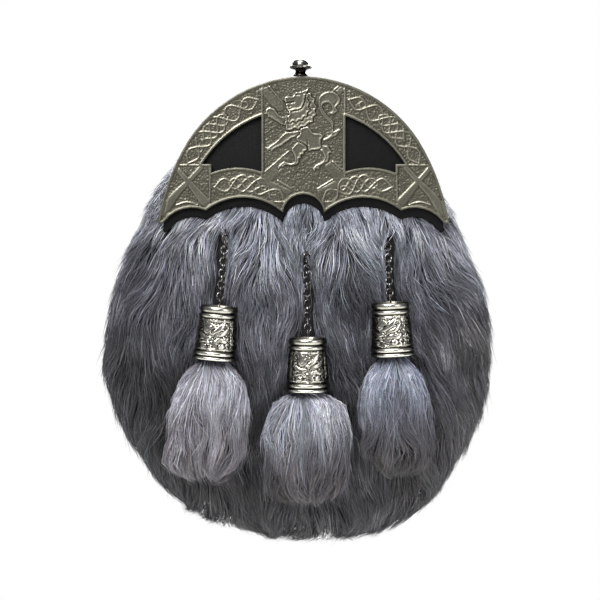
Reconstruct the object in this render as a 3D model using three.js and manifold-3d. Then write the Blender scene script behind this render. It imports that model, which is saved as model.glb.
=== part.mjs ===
// A full-dress sporran pouch: a hollow fur pouch closed by a leather back, a cast metal cantle on a
// leather backing, and three fur tassels that hang from metal bells on link chains.
//
// Millimetres, +Z up, front towards -Y, +X to the viewer's right. The origin is the point that the sporran
// hangs from: midway between the two strap loops, in the plane of the leather back's rear face.

import * as THREE from "three";
import { mergeVertices } from "three/addons/utils/BufferGeometryUtils.js";
import Module from "manifold-3d";

const wasm = await Module();
wasm.setup();

// ---------------------------------------------------------------- driving dimensions

const GAP = 0.3; // clearance between neighbouring pieces
const SIDES = [
  { name: "right", hand: 1 },
  { name: "left", hand: -1 },
];

const CANTLE = {
  topZ: 71,
  shoulder: { x: 60.3, z: 37.5, rise: 8.5 }, // end of the crown arc, and how far that arc bulges
  tip: { x: 76.2, z: -5, rise: 2.2 }, // end of the flank arc
  tipFoot: { x: 74.8, z: -6.3 }, // lowest point of the wing tip
  tipHeel: { x: 73.1, z: -5.2 }, // where the first scallop starts
  outerCusp: { x: 51.2, z: 0.7, rise: 3.9 }, // between the small and the large scallop
  innerCusp: { x: 10.9, z: -0.3, rise: 7.3 }, // between the large scallop and the middle arch
  archZ: 9.3,
  plate: 2.2,
  rim: { width: 1.5, height: 1 }, // raised bead round the edge
  frame: { width: 1.5, height: 0.6 }, // bead round each window
};
// Straight raised lines on the cantle's right half; the left half mirrors them.
const FACE_LINES = [
  { name: "middle panel side", x: 21, z: 66, toX: 21, toZ: 18, width: 1.1, height: 0.6 },
  { name: "middle panel foot", x: 21, z: 18, toX: 10.9, toZ: 7.7, width: 1.1, height: 0.6 },
  { name: "corner panel top", x: 48.9, z: 24.3, toX: 66, toZ: 24.3, width: 1.1, height: 0.6 },
  { name: "corner panel side", x: 49.3, z: 24.3, toX: 49.3, toZ: 4.7, width: 1.1, height: 0.6 },
  { name: "saltire falling", x: 52, z: 22, toX: 72, toZ: -1, width: 3, height: 0.7 },
  { name: "saltire rising", x: 52.5, z: 3.2, toX: 67, toZ: 22, width: 3, height: 0.7 },
];
const WINDOW = {
  innerX: 22,
  topZ: 50.4,
  outer: { x: 53.4, z: 24.9, rise: 3.4 },
  notch: { x: 48.3, z: 20.4 },
  sillZ: 21,
  sillRise: 2.4,
};
const BACKING = { thickness: 3, drop: 4.8, inset: 1.2, tipInset: 2.2 }; // leather behind the cantle

const KNOB = { x: -1.4, neck: 2.5, collar: 3.3, head: 5.8, neckZ: 3.9, headZ: 5.6, height: 9.2 };

const LEATHER = { back: 2.5, flap: 2.2, loop: 2.4 };
const MOUTH = { halfWidth: 32, z: 36, height: 13 };
const FLAP = { halfWidth: 37, topZ: 53, sideZ: 10, bottomZ: -9 };
const STUD = { radius: 5.4, height: 2, z: -1 };
const LOOP = { x: 49, width: 20, height: 50, foot: 9, slot: 5.4, ramp: 4 };

// The fur's outer form seen from the front: points of one smooth closed line, clockwise from the top.
const FUR_LINE = [
  { x: 0, z: 66 },
  { x: 35, z: 57 },
  { x: 56, z: 36 },
  { x: 67, z: 18 },
  { x: 75.5, z: 5 },
  { x: 82, z: -2 },
  { x: 87, z: -15 },
  { x: 94.5, z: -33 },
  { x: 99.5, z: -54 },
  { x: 101, z: -77 },
  { x: 98, z: -97 },
  { x: 90, z: -120 },
  { x: 78, z: -139 },
  { x: 63, z: -156 },
  { x: 43, z: -168 },
  { x: 6, z: -172.5 },
  { x: -26, z: -170 },
  { x: -50, z: -162 },
  { x: -71, z: -149 },
  { x: -88, z: -129 },
  { x: -99, z: -111 },
  { x: -106, z: -88 },
  { x: -107.5, z: -70 },
  { x: -104.5, z: -46 },
  { x: -99, z: -29 },
  { x: -91, z: -9 },
  { x: -80, z: 10 },
  { x: -68, z: 21 },
  { x: -54, z: 36 },
  { x: -35, z: 57 },
];
const FUR = {
  centre: { x: -2, z: -58 },
  around: 56, // points in a section
  rearY: -LEATHER.back - GAP,
  widestY: -15, // depth of the widest section
  topDepth: 30, // front of the pouch behind the cantle
  swell: 11, // how much further forward the fur stands below it
  swellZ: [30, -40], // where that swelling starts and is full
  squareTop: 7, // corner exponents of the side profile: boxy behind the cantle, round in the fur
  squareFur: 2.4,
  rear: { fur: 0.95, top: 0.985 }, // sizes of the sections as shares of the outline
  back: { fur: 0.92, top: 0.975 },
  pocket: { fur: 0.86, top: 0.9 },
  pocketY: -25.5,
};

const LINK = { outer: 4.9, wire: 0.75, pitch: 3.1, around: 10, section: 5 };
const BELL = {
  height: 28,
  wall: 1.1,
  crownDepth: 1.6, // how far the top plate lies below the top edge
  eye: 1.6, // mean radius of the soldered eye
  eyeTop: 0.96, // height of its upper wire above the top edge
  tilt: 3, // degrees that the tassel's foot leans back towards the fur
};
// Outside of a bell from its mouth up: radius and height.
const BELL_PROFILE = [
  { r: 11.1, h: 0 },
  { r: 11.6, h: 0.5 },
  { r: 11.6, h: 1.3 },
  { r: 10.7, h: 2.1 },
  { r: 11.4, h: 2.9 },
  { r: 11.3, h: 4 },
  { r: 10.7, h: 4.8 },
  { r: 9.5, h: 21.8 },
  { r: 10, h: 22.6 },
  { r: 10, h: 23.6 },
  { r: 9.2, h: 24.4 },
  { r: 9.9, h: 25.2 },
  { r: 9.9, h: 27 },
  { r: 9.3, h: 28 },
];
// Half-width of a fur tassel as a share of its widest, by how far down from the bell's mouth.
const TASSEL_PROFILES = {
  long: [
    { share: 0.62, down: 0.06 },
    { share: 0.8, down: 0.16 },
    { share: 0.93, down: 0.3 },
    { share: 1, down: 0.52 },
    { share: 0.96, down: 0.7 },
    { share: 0.8, down: 0.86 },
    { share: 0.46, down: 0.96 },
  ],
  round: [
    { share: 0.8, down: 0.04 },
    { share: 0.93, down: 0.12 },
    { share: 0.99, down: 0.26 },
    { share: 1, down: 0.5 },
    { share: 0.95, down: 0.7 },
    { share: 0.79, down: 0.86 },
    { share: 0.47, down: 0.96 },
  ],
};
const TASSEL = { neck: 8.2, inBell: 7, flat: 0.7 }; // flat is depth as a share of width
// Each pendant: where its chain starts, its bell's top, sideways lean in degrees, an even number of links
// and its tassel's size.
const PENDANTS = [
  { side: "left", chainX: -40.8, x: -43.7, z: -49.4, lean: 5, links: 12, fur: "long", width: 42, length: 61 },
  { side: "middle", chainX: 1.4, x: 2.2, z: -65.9, lean: 0, links: 18, fur: "round", width: 45, length: 54 },
  { side: "right", chainX: 44, x: 45, z: -47.4, lean: -3, links: 10, fur: "long", width: 38, length: 58 },
];
const PENDANT_Y = { eye: -39.5, bell: -47 };
const EYE = { ring: 1.9, wire: 0.8, shank: 9 }; // post that carries a chain

// ---------------------------------------------------------------- materials

const MATERIALS = {
  pewter: new THREE.MeshStandardMaterial({ color: 0x77756a, roughness: 0.42, metalness: 1 }),
  chrome: new THREE.MeshStandardMaterial({ color: 0xd2d2ce, roughness: 0.12, metalness: 1 }),
  nickel: new THREE.MeshStandardMaterial({ color: 0x5c5b58, roughness: 0.28, metalness: 1 }),
  silver: new THREE.MeshStandardMaterial({ color: 0xb9b6a8, roughness: 0.25, metalness: 1 }),
  leather: new THREE.MeshStandardMaterial({ color: 0x232423, roughness: 0.55, metalness: 0 }),
  fur: new THREE.MeshStandardMaterial({ color: 0x57555a, roughness: 0.9, metalness: 0 }),
  tasselFur: new THREE.MeshStandardMaterial({ color: 0x84838d, roughness: 0.9, metalness: 0 }),
};

// ---------------------------------------------------------------- solids and outlines

// A closed geometry as a manifold-3d solid.
function solidOf(geometry) {
  const bare = geometry.clone();
  bare.deleteAttribute("normal");
  bare.deleteAttribute("uv");
  const merged = mergeVertices(bare, 1e-4);
  return new wasm.Manifold(
    new wasm.Mesh({
      numProp: 3,
      vertProperties: merged.attributes.position.array,
      triVerts: new Uint32Array(merged.index.array),
    }),
  );
}

function geometryOf(solid) {
  const { numProp, numVert, vertProperties, triVerts } = solid.getMesh();
  const position = new Float32Array(numVert * 3);
  for (let i = 0; i < numVert; i++) {
    position.set(vertProperties.subarray(i * numProp, i * numProp + 3), i * 3);
  }
  const geometry = new THREE.BufferGeometry();
  geometry.setAttribute("position", new THREE.BufferAttribute(position, 3));
  geometry.setIndex(new THREE.BufferAttribute(new Uint32Array(triVerts), 1));
  geometry.computeVertexNormals();
  return geometry;
}

function namedMesh(name, geometry, material) {
  const mesh = new THREE.Mesh(geometry, material);
  mesh.name = name;
  return mesh;
}

// Points of the arc from a to b that bulges by rise to the left of that way; b itself is left out.
function arc(a, b, rise, steps) {
  const chord = Math.hypot(b.x - a.x, b.z - a.z);
  const radius = (chord * chord) / (8 * rise) + rise / 2;
  const left = { x: -(b.z - a.z) / chord, z: (b.x - a.x) / chord };
  const centre = {
    x: (a.x + b.x) / 2 + left.x * (rise - radius),
    z: (a.z + b.z) / 2 + left.z * (rise - radius),
  };
  const start = Math.atan2(a.z - centre.z, a.x - centre.x);
  let sweep = Math.atan2(b.z - centre.z, b.x - centre.x) - start;
  if (rise > 0 && sweep > 0) sweep -= 2 * Math.PI;
  if (rise < 0 && sweep < 0) sweep += 2 * Math.PI;
  const size = Math.abs(radius);
  return Array.from({ length: steps }, (_, i) => {
    const angle = start + (sweep * i) / steps;
    return new THREE.Vector2(centre.x + size * Math.cos(angle), centre.z + size * Math.sin(angle));
  });
}

// Each corner moved along its own bisector, inwards for a positive distance; the outline runs clockwise.
function inset(outline, distance) {
  const n = outline.length;
  return outline.map((point, i) => {
    const before = point.clone().sub(outline[(i + n - 1) % n]).normalize();
    const after = outline[(i + 1) % n].clone().sub(point).normalize();
    const normal = new THREE.Vector2(before.y + after.y, -before.x - after.x).normalize();
    const stretch = 1 / Math.max(0.5, normal.x * after.y - normal.y * after.x);
    return point.clone().addScaledVector(normal, distance * stretch);
  });
}

const mirrored = (points) => points.map((p) => new THREE.Vector2(-p.x, p.y)).reverse();

// The points in the asked turning direction.
function turned(points, clockwise) {
  return THREE.ShapeUtils.isClockWise(points) === clockwise ? points : [...points].reverse();
}

// A plate in the XZ plane: its rear face at rearY, its front face thickness nearer the viewer.
function plate(outline, holes, rearY, thickness) {
  const shape = new THREE.Shape(turned(outline, false));
  shape.holes = holes.map((hole) => new THREE.Path(turned(hole, true)));
  const geometry = new THREE.ExtrudeGeometry(shape, { depth: thickness, bevelEnabled: false });
  return geometry.rotateX(Math.PI / 2).translate(0, rearY, 0);
}

// A closed skin through sections of equal count; the first and last section are single points.
function skin(sections) {
  const rings = sections.slice(1, -1);
  const around = rings[0].length;
  const points = [sections[0][0], ...rings.flat(), sections.at(-1)[0]];
  const at = (ring, i) => 1 + ring * around + (i % around);
  const faces = [];
  for (let i = 0; i < around; i++) {
    faces.push(0, at(0, i), at(0, i + 1));
    for (let k = 0; k < rings.length - 1; k++) {
      faces.push(at(k, i), at(k + 1, i), at(k + 1, i + 1), at(k, i), at(k + 1, i + 1), at(k, i + 1));
    }
    faces.push(points.length - 1, at(rings.length - 1, i + 1), at(rings.length - 1, i));
  }
  return new THREE.BufferGeometry().setFromPoints(points).setIndex(faces);
}

const smoothstep = (from, to, value) => {
  const t = Math.min(1, Math.max(0, (value - from) / (to - from)));
  return t * t * (3 - 2 * t);
};

// ---------------------------------------------------------------- cantle, backing and knob

// The right half from the top to the middle arch, then its mirror image, clockwise.
function cantleOutline(drop = 0, edge = 0, tipEdge = 0) {
  const { topZ, shoulder, tip, tipFoot, tipHeel, outerCusp, innerCusp, archZ } = CANTLE;
  const top = { x: 0, z: topZ - edge };
  const side = { x: shoulder.x - edge, z: shoulder.z - edge / 2 };
  const low = (p, inward = 0) => ({ x: p.x - inward, z: p.z - drop });
  const end = low(tip, tipEdge);
  const foot = low(tipFoot, tipEdge);
  const heel = low(tipHeel, tipEdge);
  const [outer, inner] = [low(outerCusp), low(innerCusp)];
  const half = [
    ...arc(top, side, shoulder.rise, 12),
    ...arc(side, end, tip.rise, 7),
    new THREE.Vector2(end.x, end.z),
    new THREE.Vector2(foot.x, foot.z),
    ...arc(heel, outer, -outerCusp.rise, 6),
    ...arc(outer, inner, -innerCusp.rise, 10),
  ];
  const arch = arc(inner, { x: -inner.x, z: inner.z }, -(archZ - innerCusp.z), 10);
  return [...half, ...arch, new THREE.Vector2(-inner.x, inner.z), ...mirrored(half.slice(1))];
}

function windowOutline() {
  const { innerX, topZ, outer, notch, sillZ, sillRise } = WINDOW;
  return [
    ...arc({ x: innerX, z: topZ }, outer, outer.rise, 8),
    new THREE.Vector2(outer.x, outer.z),
    new THREE.Vector2(notch.x, outer.z),
    ...arc(notch, { x: innerX, z: sillZ }, -sillRise, 6),
    new THREE.Vector2(innerX, sillZ),
  ];
}

// A straight raised line on the cantle's face, rooted a little way into the plate.
function faceLine({ x, z, toX, toZ, width, height }, hand, faceY) {
  const root = 0.4;
  const along = new THREE.Vector2(hand * (toX - x), toZ - z);
  const line = new THREE.BoxGeometry(along.length(), height + root, width);
  line.rotateY(-along.angle());
  return line.translate((hand * (x + toX)) / 2, faceY - (height - root) / 2, (z + toZ) / 2);
}

function makeCantle(rearY) {
  const { plate: thickness, rim, frame } = CANTLE;
  const outline = cantleOutline();
  const openings = [windowOutline(), mirrored(windowOutline())];
  // A raised bead between two outlines, rooted halfway into the plate.
  const bead = (outer, inner, height) =>
    solidOf(plate(outer, [inner], rearY - thickness / 2, thickness / 2 + height));
  let cast = solidOf(plate(outline, openings, rearY, thickness));
  cast = cast.add(bead(outline, inset(outline, rim.width), rim.height));
  openings.forEach((opening) => {
    cast = cast.add(bead(inset(opening, -frame.width), opening, frame.height));
  });
  for (const { hand } of SIDES) {
    FACE_LINES.forEach((line) => {
      cast = cast.add(solidOf(faceLine(line, hand, rearY - thickness)));
    });
  }
  return namedMesh("cantle", geometryOf(cast), MATERIALS.pewter);
}

function makeBacking(rearY) {
  const outline = cantleOutline(BACKING.drop, BACKING.inset, BACKING.tipInset);
  return namedMesh("cantle_backing", plate(outline, [], rearY, BACKING.thickness), MATERIALS.leather);
}

function makeKnob(y) {
  const { neck, collar, head, neckZ, headZ, height } = KNOB;
  const profile = [
    new THREE.Vector2(0, 0),
    new THREE.Vector2(collar, 0),
    new THREE.Vector2(collar, 0.9),
    new THREE.Vector2(neck, 1.4),
    new THREE.Vector2(neck, neckZ - 1),
    new THREE.Vector2(head - 0.8, headZ - 0.9),
    new THREE.Vector2(head, headZ - 0.2),
  ];
  for (let step = 1; step <= 6; step++) {
    const angle = (step / 6) * (Math.PI / 2);
    const dome = { r: head * Math.cos(angle), h: headZ + (height - headZ) * Math.sin(angle) };
    profile.push(new THREE.Vector2(step === 6 ? 0 : dome.r, dome.h));
  }
  const knob = namedMesh("knob", new THREE.LatheGeometry(profile, 24), MATERIALS.chrome);
  knob.rotation.x = Math.PI / 2;
  knob.position.set(KNOB.x, y, CANTLE.topZ + GAP);
  return knob;
}

// ---------------------------------------------------------------- fur pouch and leather back

const furCurve = new THREE.CatmullRomCurve3(
  FUR_LINE.map(({ x, z }) => new THREE.Vector3(x, 0, z)),
  true,
  "centripetal",
);
const furOutline = furCurve.getSpacedPoints(FUR.around).slice(0, FUR.around);
// 1 behind the cantle, 0 where the fur hangs free.
const topShare = (z) => smoothstep(-20, 15, z);
const mix = ({ fur, top }, z) => fur + (top - fur) * topShare(z);

// One section of the pouch: every outline point drawn in towards the centre and set at its own depth.
function section(sizeAt, depthAt) {
  return furOutline.map((p) => {
    const size = sizeAt(p.z);
    const x = FUR.centre.x + (p.x - FUR.centre.x) * size;
    const z = FUR.centre.z + (p.z - FUR.centre.z) * size;
    return new THREE.Vector3(x, depthAt(p.z, x, z), z);
  });
}

const frontDepth = (z) => FUR.topDepth + FUR.swell * smoothstep(...FUR.swellZ, z);

function makeFurPouch(pressedIn) {
  const { centre, rearY, widestY, pocketY, squareTop, squareFur } = FUR;
  const corner = (z) => squareFur + (squareTop - squareFur) * topShare(z);
  const pole = (y) => [new THREE.Vector3(centre.x, y, centre.z)];
  const pocket = [0.35, 0.7, 0.93].map((share) => section((z) => mix(FUR.pocket, z) * share, () => pocketY));
  pocket.push(section((z) => mix(FUR.pocket, z), () => pocketY + 4));
  pocket.push(section((z) => mix(FUR.pocket, z), () => rearY));
  const outside = [
    section((z) => mix(FUR.rear, z), () => rearY),
    section((z) => (1 + mix(FUR.rear, z)) / 2, () => (rearY + widestY) / 2 + 1),
  ];
  const steps = 9;
  for (let step = 0; step < steps; step++) {
    const angle = (step / steps) * (Math.PI / 2);
    const size = (z) => Math.cos(angle) ** (2 / corner(z));
    const depth = (rimZ, x, z) =>
      widestY - (frontDepth(z) + widestY) * Math.sin(angle) ** (2 / corner(rimZ));
    outside.push(section(size, depth));
  }
  const front = pole(-frontDepth(centre.z));
  let pouch = solidOf(skin([pole(pocketY), ...pocket, ...outside, front]));
  pressedIn.forEach((form) => {
    pouch = pouch.subtract(form);
  });
  return namedMesh("fur_pouch", geometryOf(pouch), MATERIALS.fur);
}

function makeBackPanel() {
  const outline = section((z) => mix(FUR.back, z), () => 0).map((p) => new THREE.Vector2(p.x, p.z));
  const { halfWidth, z, height } = MOUTH;
  const radius = height / 2;
  const mouth = new THREE.Path();
  mouth.absarc(halfWidth - radius, z, radius, -Math.PI / 2, Math.PI / 2);
  mouth.absarc(radius - halfWidth, z, radius, Math.PI / 2, (3 * Math.PI) / 2);
  const panel = plate(outline, [mouth.getPoints(8)], 0, LEATHER.back);
  return namedMesh("back_panel", panel, MATERIALS.leather);
}

function makeFlap() {
  const { halfWidth, topZ, sideZ, bottomZ } = FLAP;
  const shape = new THREE.Path();
  shape.moveTo(-halfWidth, topZ - 14);
  shape.quadraticCurveTo(-halfWidth * 0.6, topZ, 0, topZ);
  shape.quadraticCurveTo(halfWidth * 0.6, topZ, halfWidth, topZ - 14);
  shape.lineTo(halfWidth, sideZ);
  shape.bezierCurveTo(halfWidth, (sideZ + bottomZ) / 2, halfWidth * 0.5, bottomZ, 0, bottomZ);
  shape.bezierCurveTo(-halfWidth * 0.5, bottomZ, -halfWidth, (sideZ + bottomZ) / 2, -halfWidth, sideZ);
  const flap = plate(shape.getPoints(9), [], LEATHER.flap + GAP, LEATHER.flap);
  return namedMesh("back_flap", flap, MATERIALS.leather);
}

function makeStud() {
  const { radius, height, z } = STUD;
  const profile = [
    new THREE.Vector2(0, 0),
    new THREE.Vector2(radius, 0),
    new THREE.Vector2(radius, 0.7),
    new THREE.Vector2(radius * 0.72, height * 0.85),
    new THREE.Vector2(radius * 0.35, height),
    new THREE.Vector2(0, height),
  ];
  const stud = namedMesh("flap_stud", new THREE.LatheGeometry(profile, 20), MATERIALS.nickel);
  stud.position.set(0, LEATHER.flap + 2 * GAP, z);
  return stud;
}

// A strap bent like a bridge: its feet lie on the back, and the belt passes under its middle.
function makeLoop({ name, hand }) {
  const { x, width, height, foot, slot, ramp } = LOOP;
  const thickness = LEATHER.loop;
  const half = height / 2;
  const inner = [
    [-half, GAP],
    [-half + foot, GAP],
    [-half + foot + ramp, slot],
    [half - foot - ramp, slot],
    [half - foot, GAP],
    [half, GAP],
  ];
  const outer = [
    [half, GAP + thickness],
    [half - foot + 1, GAP + thickness],
    [half - foot - ramp + 1, slot + thickness],
    [-half + foot + ramp - 1, slot + thickness],
    [-half + foot - 1, GAP + thickness],
    [-half, GAP + thickness],
  ];
  const shape = new THREE.Shape([...inner, ...outer].map(([z, y]) => new THREE.Vector2(y, z)));
  const geometry = new THREE.ExtrudeGeometry(shape, { depth: width, bevelEnabled: false });
  // The section is drawn in YZ and drawn out along X.
  geometry.applyMatrix4(new THREE.Matrix4().set(0, 0, 1, 0, 1, 0, 0, 0, 0, 1, 0, 0, 0, 0, 0, 1));
  const loop = namedMesh(`strap_loop_${name}`, geometry, MATERIALS.leather);
  loop.position.x = hand * x - width / 2;
  return loop;
}

// ---------------------------------------------------------------- chains, bells and tassels

// A plain post that stands in the fur, with a ring on its end for the first link.
function makeEye(name) {
  const { ring, wire, shank } = EYE;
  const loop = new THREE.TorusGeometry(ring, wire / 2, 6, 12).rotateY(Math.PI / 2);
  const post = new THREE.CylinderGeometry(wire, wire, shank, 8).translate(0, shank / 2 + ring, 0);
  return namedMesh(name, geometryOf(solidOf(loop).add(solidOf(post))), MATERIALS.nickel);
}

// A bell, or with grow the plain form that it presses into the fur. Origin at the centre of its top, +Z up.
function bellGeometry(grow = 0) {
  const { height, wall, crownDepth, eye, eyeTop } = BELL;
  const down = (h) => h - height;
  const outside = BELL_PROFILE.map(({ r, h }) => new THREE.Vector2(r + grow, down(h)));
  if (grow) {
    const [foot, top] = [new THREE.Vector2(0, -height - grow), new THREE.Vector2(0, grow)];
    return new THREE.LatheGeometry([foot, ...outside, top], 24).rotateX(Math.PI / 2);
  }
  const [mouth, crown] = [BELL_PROFILE[0].r - wall, BELL_PROFILE.at(-1).r - wall];
  const inside = [
    new THREE.Vector2(crown, 0),
    new THREE.Vector2(crown, -crownDepth),
    new THREE.Vector2(0, -crownDepth),
  ];
  const under = [
    new THREE.Vector2(0, -crownDepth - wall),
    new THREE.Vector2(crown, -crownDepth - wall),
    new THREE.Vector2(mouth, -height),
  ];
  const shell = new THREE.LatheGeometry([...under, ...outside, ...inside], 24).rotateX(Math.PI / 2);
  const ring = new THREE.TorusGeometry(eye, LINK.wire / 2, 5, 10).rotateX(Math.PI / 2);
  return geometryOf(solidOf(shell).add(solidOf(ring.translate(0, 0, eyeTop - eye))));
}

function tasselGeometry({ fur, width, length }, grow = 0) {
  const { neck, inBell, flat } = TASSEL;
  const mouthZ = -BELL.height;
  const row = (r, z) => new THREE.Vector2(r + grow, z);
  const outer = TASSEL_PROFILES[fur].map((at) => row((at.share * width) / 2, mouthZ - at.down * length));
  const profile = [
    new THREE.Vector2(0, mouthZ - length - grow),
    ...outer.reverse(),
    row(neck, mouthZ + 0.5),
    row(neck - 0.6, mouthZ + inBell),
    new THREE.Vector2(0, mouthZ + inBell),
  ];
  return new THREE.LatheGeometry(profile, 20).rotateX(Math.PI / 2).scale(1, flat + grow * 0.02, 1);
}

function makeLink(name, turnedSideways) {
  const { outer, wire, around, section: sides } = LINK;
  const ring = new THREE.TorusGeometry((outer - wire) / 2, wire / 2, sides, around);
  if (turnedSideways) ring.rotateY(Math.PI / 2);
  return namedMesh(name, ring, MATERIALS.nickel);
}

// One pendant's chain eye, links, bell and tassel, and the forms that it presses into the fur.
function makePendant(spec) {
  const { side, chainX, x, z, lean, links } = spec;
  const { outer, wire, pitch } = LINK;
  const group = new THREE.Group();
  const hanging = new THREE.Group();
  hanging.position.set(x, PENDANT_Y.bell, z);
  hanging.rotation.set(THREE.MathUtils.degToRad(BELL.tilt), THREE.MathUtils.degToRad(lean), 0);
  hanging.add(namedMesh(`bell_${side}`, bellGeometry(), MATERIALS.silver));
  hanging.add(namedMesh(`fur_tassel_${side}`, tasselGeometry(spec), MATERIALS.tasselFur));
  hanging.updateMatrixWorld(true);
  group.add(hanging);

  // The end links hang clear of the eye's wire and the bell's ring; the eye's height follows from that.
  const bellRing = new THREE.Vector3(0, 0, BELL.eyeTop).applyMatrix4(hanging.matrixWorld);
  const innerReach = outer / 2 - wire;
  const firstReach = innerReach - EYE.wire / 2 - GAP;
  const lastReach = innerReach - wire / 2 - GAP;
  const chain = (links - 1) * pitch;
  const run = new THREE.Vector3(bellRing.x - chainX, bellRing.y - PENDANT_Y.eye, 0);
  run.z = -Math.sqrt((firstReach + chain + lastReach) ** 2 - run.lengthSq());
  const eyeLow = bellRing.clone().sub(run);
  const down = run.clone().normalize();
  const eye = makeEye(`chain_eye_${side}`);
  eye.position.copy(eyeLow).add(new THREE.Vector3(0, 0, EYE.ring));
  group.add(eye);

  const hang = new THREE.Quaternion().setFromUnitVectors(new THREE.Vector3(0, 0, -1), down);
  for (let i = 0; i < links; i++) {
    const link = makeLink(`chain_${side}_${String(i + 1).padStart(2, "0")}`, i % 2 === 1);
    link.geometry.rotateX(Math.PI / 2).applyQuaternion(hang);
    link.position.copy(eyeLow).addScaledVector(down, firstReach + i * pitch);
    group.add(link);
  }

  const clear = 2 * GAP;
  const middle = eyeLow.clone().addScaledVector(run, 0.5);
  const trough = new THREE.CylinderGeometry(outer / 2 + clear, outer / 2 + clear, run.length() + 6, 10);
  trough.rotateX(Math.PI / 2).applyQuaternion(hang).translate(middle.x, middle.y, middle.z);
  const hole = new THREE.CylinderGeometry(EYE.wire + clear, EYE.wire + clear, EYE.shank + 2 * EYE.ring, 8);
  hole.translate(chainX, eye.position.y + EYE.shank / 2 + GAP, eye.position.z);
  const pressed = [
    bellGeometry(clear).applyMatrix4(hanging.matrixWorld),
    tasselGeometry(spec, clear).applyMatrix4(hanging.matrixWorld),
    trough,
    hole,
  ];
  return { group, pressed: pressed.map(solidOf) };
}

// ---------------------------------------------------------------- assembly

const sporran = new THREE.Group();
const backingY = -FUR.topDepth - GAP;
const cantleY = backingY - BACKING.thickness - GAP;
sporran.add(makeCantle(cantleY), makeBacking(backingY), makeKnob(cantleY));
sporran.add(makeBackPanel(), makeFlap(), makeStud(), ...SIDES.map(makeLoop));

const pendants = PENDANTS.map(makePendant);
sporran.add(...pendants.map(({ group }) => group));

// The fur parts round the cantle, its leather backing, the chains, the bells and the tassels.
const room = (outline, rearY) => solidOf(plate(inset(outline, -2 * GAP), [], rearY, 20));
const parted = [
  room(cantleOutline(), cantleY + GAP),
  room(cantleOutline(BACKING.drop, BACKING.inset, BACKING.tipInset), backingY + GAP),
  ...pendants.flatMap(({ pressed }) => pressed),
];
sporran.add(makeFurPouch(parted));

export default sporran;
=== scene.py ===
import math

import bmesh
import bpy
import numpy as np
from mathutils import Matrix, Vector
from mathutils.bvhtree import BVHTree
from mathutils.kdtree import KDTree


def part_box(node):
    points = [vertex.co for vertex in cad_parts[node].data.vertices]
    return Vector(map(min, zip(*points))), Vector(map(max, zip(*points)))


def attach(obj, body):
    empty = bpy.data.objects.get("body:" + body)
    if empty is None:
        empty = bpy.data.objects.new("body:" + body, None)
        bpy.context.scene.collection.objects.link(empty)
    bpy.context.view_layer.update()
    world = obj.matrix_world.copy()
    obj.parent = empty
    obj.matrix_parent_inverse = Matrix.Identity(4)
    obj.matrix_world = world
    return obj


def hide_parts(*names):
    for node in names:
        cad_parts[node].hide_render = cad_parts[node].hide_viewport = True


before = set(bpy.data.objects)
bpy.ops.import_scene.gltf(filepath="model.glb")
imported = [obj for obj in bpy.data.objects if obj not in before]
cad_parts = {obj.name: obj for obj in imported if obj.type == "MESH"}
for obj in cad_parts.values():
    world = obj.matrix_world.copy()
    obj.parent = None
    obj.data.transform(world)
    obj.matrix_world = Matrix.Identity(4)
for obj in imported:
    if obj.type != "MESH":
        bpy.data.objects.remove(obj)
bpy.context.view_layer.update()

mm = 0.001
sides = ["left", "middle", "right"]
print("frame loaded:", len(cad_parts), "CAD nodes")


# ---- small helpers

def linear(hexCode):
    # sRGB hex to linear RGB
    parts = [int(hexCode[i:i + 2], 16) / 255 for i in (1, 3, 5)]
    return [c / 12.92 if c <= 0.04045 else ((c + 0.055) / 1.055) ** 2.4 for c in parts]


def colour(hexCode):
    return (*linear(hexCode), 1.0)


def addNode(tree, kind, settings=None, inputs=None):
    # a node with its settings; an input is a value or the socket that feeds it
    node = tree.nodes.new(kind)
    for name, value in (settings or {}).items():
        setattr(node, name, value)
    for name, value in (inputs or {}).items():
        if isinstance(value, bpy.types.NodeSocket):
            tree.links.new(value, node.inputs[name])
        else:
            node.inputs[name].default_value = value
    return node


def newMaterial(name):
    # a material with its output, ready for a shader
    material = bpy.data.materials.new(name)
    material.use_nodes = True
    tree = material.node_tree
    tree.nodes.clear()
    return material, tree, tree.nodes.new("ShaderNodeOutputMaterial")


def fillRamp(node, stops):
    # stops are (position, hex)
    ramp = node.color_ramp
    while len(ramp.elements) < len(stops):
        ramp.elements.new(0.5)
    for element, (place, code) in zip(ramp.elements, stops):
        element.position = place
        element.color = colour(code)


def selectOnly(piece):
    bpy.ops.object.select_all(action="DESELECT")
    piece.select_set(True)
    bpy.context.view_layer.objects.active = piece


def editAll(piece):
    selectOnly(piece)
    bpy.ops.object.mode_set(mode="EDIT")
    bpy.ops.mesh.select_all(action="SELECT")


def leaveEdit():
    bpy.ops.object.mode_set(mode="OBJECT")


def applyModifier(piece, kind, **settings):
    selectOnly(piece)
    modifier = piece.modifiers.new(kind.title(), kind)
    for name, value in settings.items():
        setattr(modifier, name, value)
    bpy.ops.object.modifier_apply(modifier=modifier.name)


def copyNode(node, name):
    # a merged copy of a CAD node that may be reshaped
    piece = bpy.data.objects.new(name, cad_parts[node].data.copy())
    bpy.context.scene.collection.objects.link(piece)
    piece.data.materials.clear()
    editAll(piece)
    bpy.ops.mesh.customdata_custom_splitnormals_clear()
    bpy.ops.mesh.remove_doubles(threshold=0.02 * mm)
    leaveEdit()
    return piece


def joinPieces(pieces, name):
    bpy.ops.object.select_all(action="DESELECT")
    for piece in pieces:
        piece.select_set(True)
    bpy.context.view_layer.objects.active = pieces[0]
    if len(pieces) > 1:
        bpy.ops.object.join()
    pieces[0].name = name
    return pieces[0]


def bakePlace(piece):
    # the object to the origin, its place into its mesh
    selectOnly(piece)
    bpy.ops.object.transform_apply(location=True, rotation=True, scale=True)


def finishPiece(piece, material, slot, *nodes):
    piece.data.materials.clear()
    piece.data.materials.append(material)
    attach(piece, "root")
    if nodes:
        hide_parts(*nodes)
    return piece


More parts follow.
